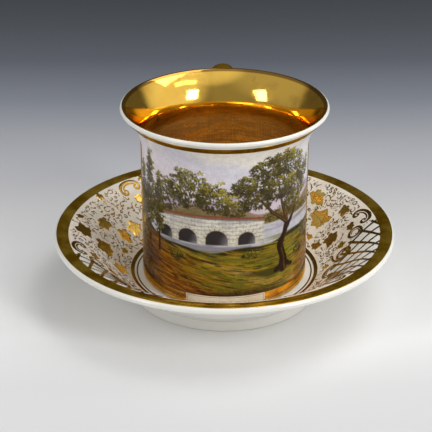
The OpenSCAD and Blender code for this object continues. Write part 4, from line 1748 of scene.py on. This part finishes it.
@dataclass
class Cup:
    """White cup with a flared lip, gilt inside, and a painted front between gold bands."""

    diameter: float = 74.2 * MM
    height: float = 81.2 * MM
    stands_at: float = 9.0 * MM
    lip_diameter: float = 91.6 * MM
    flare_height: float = 16.0 * MM
    flare_power: float = 2.0
    wall: float = 2.0 * MM
    floor: float = 3.5 * MM
    corner: float = 6.0 * MM
    base_round: float = 1.6 * MM
    foot_width: float = 4.0 * MM
    foot_hollow: float = 1.2 * MM
    gold: float = 0.15 * MM
    enamel: float = 0.2 * MM
    lip_gold_edge: float = 132.0
    lip_margin: float = 1.7 * MM
    lip_band_width: float = 2.8 * MM
    base_band_height: float = 5.6 * MM
    base_band_edge: float = 50.0
    panel_turn: float = math.radians(152)
    panel_line_width: float = 4.0 * MM
    label_turn: float = math.radians(55)
    foot_chamfer: float = 0.4 * MM
    flare_steps: int = 36
    inner_steps: int = 30
    label_steps: int = 48
    base_steps: int = 220
    steps: int = 256

    def __post_init__(self) -> None:
        """Work out the places that follow from the sizes."""
        self.radius = self.diameter / 2
        self.roll = self.wall / 2
        self.body_mid = self.radius - self.roll
        self.lip_mid = self.lip_diameter / 2 - self.roll
        self.lip_z = self.stands_at + self.height - self.roll
        self.flare_z = self.lip_z - self.flare_height
        self.floor_z = self.stands_at + self.foot_hollow + self.floor
        self.band_high = self.lip_z - self.lip_margin
        self.band_low = self.band_high - self.lip_band_width
        self.base_band_z = self.stands_at + self.base_band_height

    def flare(self, z: float) -> float:
        """Share of the collar's height that a height has reached."""
        return max(0.0, (z - self.flare_z) / self.flare_height)

    def wall_slope(self, z: float) -> float:
        """Angle of the wall from upright at a height."""
        steep = (self.lip_mid - self.body_mid) * self.flare_power / self.flare_height
        return math.atan(steep * self.flare(z) ** (self.flare_power - 1))

    def wall_point(self, z: float, out: float) -> Point:
        """Point beside the wall's middle line.

        Args:
            z: Height on the middle line.
            out: Distance outwards from it.

        Returns:
            Radius and height.
        """
        slope = self.wall_slope(z)
        middle = self.body_mid + (self.lip_mid - self.body_mid) * self.flare(z) ** self.flare_power
        return middle + out * math.cos(slope), z - out * math.sin(slope)

    def lip_point(self, turn: float, lift: float) -> Point:
        """Point round the rolled lip, by its angle in degrees from the outer face."""
        reach, angle = self.roll + lift, self.wall_slope(self.lip_z) - math.radians(turn)
        return self.lip_mid + reach * math.cos(angle), self.lip_z - reach * math.sin(angle)

    def corner_point(self, turn: float, lift: float) -> Point:
        """Point on the rounded corner inside.

        Args:
            turn: Angle from the wall, in degrees.
            lift: Distance from the corner's face.

        Returns:
            Radius and height.
        """
        reach, angle = self.corner - lift, math.radians(turn)
        middle = self.radius - self.wall - self.corner
        return middle + reach * math.cos(angle), self.floor_z + self.corner - reach * math.sin(angle)

    def base_point(self, turn: float, lift: float) -> Point:
        """Point on the rounded lower edge.

        Args:
            turn: Angle from the foot, in degrees.
            lift: Distance from the edge's face.

        Returns:
            Radius and height.
        """
        reach, angle = self.base_round + lift, math.radians(turn)
        return (self.radius - self.base_round + reach * math.sin(angle),
                self.stands_at + self.base_round - reach * math.cos(angle))

    def wall_layer(self, heights: Sequence[float], thickness: float) -> list[Point]:
        """Section of a thin layer on the outer face."""
        return ([self.wall_point(z, self.roll) for z in heights]
                + [self.wall_point(z, self.roll + thickness) for z in reversed(heights)])

    def base_layer(self, thickness: float) -> list[Point]:
        """Section of a thin layer round the lower edge and up the body.

        Args:
            thickness: Thickness of the layer.

        Returns:
            The section's points.
        """
        turns = spread(self.base_band_edge, 90, 6)
        heights = spread(self.stands_at + self.base_round, self.base_band_z, 4)[1:]
        return ([self.base_point(a, 0) for a in turns] + self.wall_layer(heights, thickness)
                + [self.base_point(a, thickness) for a in reversed(turns)])

    def blank(self, margin: float) -> Shape:
        """Solid inside the cup's outer face, which trims the handle's roots.

        Args:
            margin: Distance by which it is grown.

        Returns:
            The new shape.
        """
        heights = [self.base_band_z] + spread(self.flare_z, self.lip_z, self.inner_steps)
        face = [self.wall_point(z, self.roll + margin) for z in heights]
        return turned([(0.0, self.base_band_z)] + face + [(0.0, self.lip_z)], self.steps)

    def porcelain(self) -> Piece:
        """Spin the white body.

        Returns:
            The new piece.
        """
        hollow = self.stands_at + self.foot_hollow
        foot_in = self.radius - self.base_round - self.foot_width
        section = [(0.0, hollow), (foot_in - self.foot_chamfer, hollow)]
        section += [(foot_in, hollow - self.foot_chamfer), (foot_in, self.stands_at)]
        section += [self.base_point(a, 0) for a in spread(0, 90, 10)]
        section += [self.wall_point(z, self.roll) for z in spread(self.base_band_z, self.flare_z, 8)]
        outer = spread(self.flare_z, self.lip_z, self.flare_steps)
        section += [self.wall_point(z, self.roll) for z in outer[1:]]
        section += [self.lip_point(a, 0) for a in spread(0, 180, 20)[1:]]
        inner = spread(self.lip_z, self.flare_z, self.inner_steps)
        section += [self.wall_point(z, -self.roll) for z in inner[1:]]
        section += [self.corner_point(a, 0) for a in spread(0, 90, 10)]
        return finished("cup_porcelain", turned(section + [(0.0, self.floor_z)], self.steps))

    def inside_gold(self) -> Piece:
        """Spin the gold over the whole inside.

        Returns:
            The new piece.
        """
        turns, corners = spread(self.lip_gold_edge, 180, 6), spread(0, 90, 12)
        heights = spread(self.lip_z, self.flare_z, self.flare_steps)[1:]
        heights += spread(self.flare_z, self.floor_z + self.corner, 10)[1:-1]
        section = [(0.0, self.floor_z + self.gold)]
        section += [self.corner_point(a, self.gold) for a in reversed(corners)]
        section += [self.wall_point(z, -self.roll - self.gold) for z in reversed(heights)]
        section += [self.lip_point(a, self.gold) for a in reversed(turns)]
        section += [self.lip_point(a, 0) for a in turns]
        section += [self.wall_point(z, -self.roll) for z in heights]
        section += [self.corner_point(a, 0) for a in corners]
        return finished("inside_gold", turned(section + [(0.0, self.floor_z)], self.steps))

    def lip_band(self) -> Piece:
        """Spin the gold band under the white lip."""
        section = self.wall_layer(spread(self.band_low, self.band_high, 8), self.gold)
        return finished("lip_band", turned(section, self.steps))

    def base_band(self) -> Piece:
        """Spin the gold band round the lower edge, up to the label's ends."""
        bm = turned(self.base_layer(self.gold), self.base_steps, FULL_TURN - self.label_turn, BACK)
        return finished("base_band", bm)

    def label(self) -> Piece:
        """Spin the cream label in the base band."""
        bm = turned(self.base_layer(self.enamel), self.label_steps, self.label_turn, FRONT)
        return finished("caption_label", bm)

    def panel_lines(self) -> Piece:
        """Spin the gold lines at both ends of the painted front, and join them.

        Returns:
            The new piece.
        """
        turn = self.panel_line_width / self.radius
        heights = spread(self.base_band_z, self.flare_z, 4) + spread(self.flare_z, self.band_low, 24)[1:]
        both = bmesh.new()
        for side in (-1, 1):
            facing = FRONT + side * (self.panel_turn + turn) / 2
            part = turned(self.wall_layer(heights, self.gold), 6, turn, facing)
            mesh = bpy.data.meshes.new("panel_line")
            part.to_mesh(mesh)
            part.free()
            both.from_mesh(mesh)
            bpy.data.meshes.remove(mesh)
        return finished("panel_lines", both)

    def painted_front(self) -> Piece:
        """Wrap a fine grid round the painted layer's section, close its ends and colour it from the view.

        Returns:
            The new piece.
        """
        low, tall = self.base_band_z, self.band_low - self.base_band_z
        view = RiverView(self.panel_turn * self.radius / MM, tall / MM)
        colours = view.paint()
        back = [(z, self.roll) for z in [low] + spread(self.flare_z, self.band_low, 6)]
        front = [(z, self.roll + self.enamel) for z in spread(self.band_low, low, view.rows)]
        section = [(self.wall_point(z, out), round((z - low) / tall * view.rows)) for z, out in back + front]
        bm = bmesh.new()
        layer = bm.verts.layers.float_color.new(PanelEnamel.attribute)
        bmesh.ops.create_grid(bm, x_segments=view.columns, y_segments=len(section), size=0.5)
        for vert in bm.verts:
            angle = FRONT + vert.co.x * self.panel_turn
            (r, z), row = section[round((vert.co.y + 0.5) * len(section)) % len(section)]
            vert[layer] = (*colours[row, round((vert.co.x + 0.5) * view.columns)], 1.0)
            vert.co = (r * math.cos(angle), r * math.sin(angle), z)
        bmesh.ops.remove_doubles(bm, verts=bm.verts, dist=MERGE)
        bmesh.ops.holes_fill(bm, edges=[e for e in bm.edges if e.is_boundary], sides=0)
        return finished("painted_front", bm, SOFT_CREASE)

    def build(self, effects: Effects) -> None:
        """Make and dress the cup.

        Args:
            effects: Shared shader groups.
        """
        band = FiredGold("lip_band_gold", bright=(0.36, 0.21, 0.008, 1.0), deep=(0.25, 0.13, 0.006, 1.0),
                         worn_and_shade=(0.14, 0.07, 0.007, 1.0), patch_level=0.62,
                         edge=(0.9, 0.62, 0.15, 1.0)).material(effects)
        base = FiredGold("base_band_gold", bright=(0.80, 0.47, 0.12, 1.0), deep=(0.52, 0.26, 0.05, 1.0),
                         worn_and_shade=(0.34, 0.13, 0.015, 1.0), patch_size=180.0, patch_level=0.56).material(effects)
        dark = FiredGold("outline_gold", bright=(0.46, 0.26, 0.03, 1.0), deep=(0.30, 0.16, 0.02, 1.0),
                         worn_and_shade=(0.14, 0.07, 0.012, 1.0)).material(effects)
        white = PorcelainGlaze("cup_porcelain", self.stands_at).material(effects)
        inside = InsideGold().material(effects)
        settle(self.porcelain(), white, Body.CUP, Slot.PORCELAIN, "cup_body")
        settle(self.inside_gold(), inside, Body.CUP, Slot.INSIDE_GOLD, "interior_gilding")
        settle(self.lip_band(), band, Body.CUP, Slot.GOLD, "lip_band")
        settle(self.base_band(), base, Body.CUP, Slot.GOLD, "base_band")
        settle(self.label(), LabelEnamel().material(effects), Body.CUP, Slot.LABEL, "caption_label")
        settle(self.panel_lines(), dark, Body.CUP, Slot.GOLD, "panel_lines")
        settle(self.painted_front(), PanelEnamel().material(effects), Body.CUP, Slot.PANEL, "painted_panel")


@dataclass
class Handle:
    """Gilt loop handle of oval section, on two slip joints."""

    cup: Cup
    width: float = 10.0 * MM
    low_width: float = 8.0 * MM
    thickness: float = 5.5 * MM
    reach: float = 18.3 * MM
    upper: float = 21.2 * MM
    crown: float = 2.1 * MM
    bend: float = 24.2 * MM
    lower: float = 22.0 * MM
    swell: float = 0.25
    swell_share: float = 0.16
    lower_turn_share: float = 0.55
    bury: float = 1.0 * MM
    slip: float = 0.4 * MM
    gold: float = 0.15 * MM
    rings: int = 72
    sides: int = 40
    nudge: float = 0.001

    def path(self, k: float) -> np.ndarray:
        """Point of the centre line.

        Args:
            k: Share of the handle's course, from its upper root.

        Returns:
            Radius and height.
        """
        cup = self.cup
        top, out = cup.stands_at + cup.height, cup.lip_diameter / 2 + self.reach
        root, bend, low = cup.radius - cup.wall - self.bury, top - self.bend, cup.stands_at + self.lower
        turn = cup.radius + (out - cup.radius) * self.lower_turn_share
        lip, crown = cup.lip_diameter / 2, top + self.crown
        upper = ((root, top - self.upper), (lip, crown), (out, crown), (out, bend))
        lower = ((out, bend), (out, (bend + low) / 2), (turn, low + self.thickness), (root, low))
        a, b, c, d = (np.array(p) for p in (upper if k < 0.5 else lower))
        t = 2 * k if k < 0.5 else 2 * k - 1
        return (1 - t) ** 3 * a + 3 * t * (1 - t) ** 2 * b + 3 * t * t * (1 - t) * c + t ** 3 * d

    def section(self, k: float) -> Matrix:
        """Oval section of the handle.

        Args:
            k: Share of the handle's course, from its upper root.

        Returns:
            Place and half-sizes of the oval, for a circle of unit radius.
        """
        here = self.path(k)
        ahead = self.path(min(1.0, k + self.nudge)) - self.path(max(0.0, k - self.nudge))
        ahead /= np.linalg.norm(ahead)
        grow = 1 + self.swell * max(0.0, 1 - min(k, 1 - k) / self.swell_share) ** 2
        wide = (self.width + (self.low_width - self.width) * k) / 2 * grow + self.gold
        thick = self.thickness / 2 * grow + self.gold
        place = Matrix.Identity(4)
        place.col[0] = (wide, 0, 0, 0)
        place.col[1] = (0, -ahead[1] * thick, ahead[0] * thick, 0)
        place.col[2] = (0, ahead[0], ahead[1], 0)
        place.col[3] = (0, here[0], here[1], 1)
        return place

    def loop(self) -> Piece:
        """Bridge oval sections along the course, and trim both roots to the slip on the cup.

        Returns:
            The new piece.
        """
        bm = bmesh.new()
        last: list[Edge] = []
        for k in spread(0, 1, self.rings):
            made = bmesh.ops.create_circle(bm, cap_ends=k in (0.0, 1.0), segments=self.sides, radius=1.0,
                                           matrix=self.section(k))
            ring = list({e for v in made["verts"] for e in v.link_edges})
            if last:
                bmesh.ops.bridge_loops(bm, edges=last + ring)
            last = ring
        return trimmed(finished("gilt_handle", bm), self.cup.blank(self.slip))

    def build(self, effects: Effects) -> None:
        """Make and dress the handle, and dress the slip joints of the frame.

        Args:
            effects: Shared shader groups.
        """
        gold = FiredGold("handle_gold", around=40.0, across=500.0, patch_size=130.0,
                         patch_level=0.58).material(effects)
        settle(self.loop(), gold, Body.CUP, Slot.GOLD, "cup_handle", "handle_gilding")
        slip = SlipClay().material(effects)
        for name in ("upper_slip_joint", "lower_slip_joint"):
            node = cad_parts[name]
            node.data.materials.clear()
            node.data.materials.append(slip)
            LOG.info("%s: dressed", name)


def towards(azimuth: float, elevation: float) -> Vector:
    """Direction from the table, by degrees from the front towards +X and degrees upwards."""
    turn, rise = math.radians(azimuth), math.radians(elevation)
    return Vector((math.sin(turn) * math.cos(rise), -math.cos(turn) * math.cos(rise), math.sin(rise)))


@dataclass(frozen=True)
class SoftBox:
    """A studio lamp: direction and roll in degrees, distance, width and height in metres, and power."""

    name: str
    azimuth: float
    elevation: float
    roll: float
    distance: float
    width: float
    height: float
    power: float


@dataclass(frozen=True)
class Glow:
    """A broad bright part of the room: direction and reach in degrees, and level."""

    azimuth: float
    elevation: float
    reach: float
    level: float


@dataclass
class Studio:
    """Floor, light and camera of the photograph."""

    boxes: tuple[SoftBox, ...] = (
        SoftBox("right_box", 48.0, 31.5, 0.0, 1.2, 0.28, 0.42, 4.4),
        SoftBox("left_box", -56.0, 30.0, 0.0, 1.2, 0.32, 0.50, 3.3),
        SoftBox("strip_box", 66.0, 53.0, -24.0, 1.2, 0.46, 0.12, 0.3),
        SoftBox("key_box", 117.0, 63.0, 0.0, 1.2, 0.75, 0.75, 5.1),
    )
    glows: tuple[Glow, ...] = (
        Glow(78.5, 23.0, 54.0, 0.65),
        Glow(28.0, 71.0, 28.0, 0.45),
        Glow(-89.0, 52.0, 56.0, 0.16),
    )
    room_level: float = 0.265
    back_level: float = 0.11
    back_edge: Range = (0.42, 0.60)
    target: Vector = field(default_factory=lambda: Vector((0.0, 0.0, 0.05)))
    floor_size: float = 6.0
    floor_parts: int = 8
    lens: float = 118.83
    sensor: float = 36.0
    clip: Range = (0.01, 50.0)
    swing: float = math.radians(-1.05)
    camera_back: float = 0.5814
    camera_up: float = 0.3166
    camera_tilt: float = math.radians(64.21)
    camera_turn: float = math.radians(0.37)

    def floor(self) -> None:
        """Lay the paper."""
        bm = bmesh.new()
        bmesh.ops.create_grid(bm, x_segments=self.floor_parts, y_segments=self.floor_parts,
                              size=self.floor_size / 2)
        piece = finished("studio_floor", bm)
        piece.data.materials.append(FloorPaper().material())
        LOG.info("studio_floor: laid")

    def lamps(self) -> None:
        """Hang the lamps and aim them at the cup."""
        for box in self.boxes:
            lamp = bpy.data.lights.new(box.name, "AREA")
            lamp.shape = "RECTANGLE"
            lamp.size, lamp.size_y, lamp.energy = box.width, box.height, box.power
            away = towards(box.azimuth, box.elevation)
            holder = bpy.data.objects.new(box.name, lamp)
            aim = (-away).to_track_quat("-Z", "Y") @ Quaternion((0, 0, 1), math.radians(box.roll))
            holder.location = self.target + box.distance * away
            holder.rotation_euler = aim.to_euler()
            bpy.context.scene.collection.objects.link(holder)
            LOG.info("%s: %.1f W", box.name, box.power)

    def room(self) -> None:
        """Make the room: bright to the right and overhead, dim in front and dark behind the table."""
        world = bpy.data.worlds.new("studio_room")
        world.use_nodes = True
        board = Board(world.node_tree)
        world.node_tree.nodes.clear()
        way = board.node("ShaderNodeTexCoord").outputs["Generated"]
        level: object = self.room_level
        for glow in self.glows:
            near = board.node("ShaderNodeVectorMath", operation="DOT_PRODUCT")
            near = board.filled(near, way, towards(glow.azimuth, glow.elevation))["Value"]
            edge, core = math.cos(math.radians(glow.reach)), math.cos(math.radians(glow.reach / 4))
            level = board.math("ADD", board.span(near, edge, core, 0.0, glow.level), level)
        level = board.span(board.parts(way)[1], *self.back_edge, level, self.back_level)
        light = board.node("ShaderNodeBackground")
        light.inputs["Strength"].default_value = 1.0
        board.feed(light.inputs["Color"], board.joined(level, level, level))
        output = board.node("ShaderNodeOutputWorld")
        board.tree.links.new(light.outputs[0], output.inputs["Surface"])
        bpy.context.scene.world = world

    def camera(self) -> None:
        """Set the camera at the photograph's viewing angle."""
        data = bpy.data.cameras.new("photo_camera")
        data.lens, data.sensor_width = self.lens, self.sensor
        data.clip_start, data.clip_end = self.clip
        holder = bpy.data.objects.new("photo_camera", data)
        aside, back = math.sin(self.swing), math.cos(self.swing)
        holder.location = (self.camera_back * aside, -self.camera_back * back, self.camera_up)
        holder.rotation_euler = (self.camera_tilt, 0.0, self.camera_turn + self.swing)
        bpy.context.scene.collection.objects.link(holder)
        bpy.context.scene.camera = holder

    def build(self) -> None:
        """Set up the whole studio."""
        self.floor()
        self.lamps()
        self.room()
        self.camera()
        bpy.context.scene.view_settings.view_transform = "Standard"


def main() -> None:
    """Build the saucer, its ornament, the cup, its handle and the studio."""
    logging.basicConfig(level=logging.INFO, format="%(name)s: %(message)s")
    effects = Effects()
    saucer, cup = Saucer(), Cup()
    saucer.build(effects)
    GiltOrnament(saucer).build(effects)
    cup.build(effects)
    Handle(cup).build(effects)
    Studio().build()


if __name__ == "__main__":
    main()
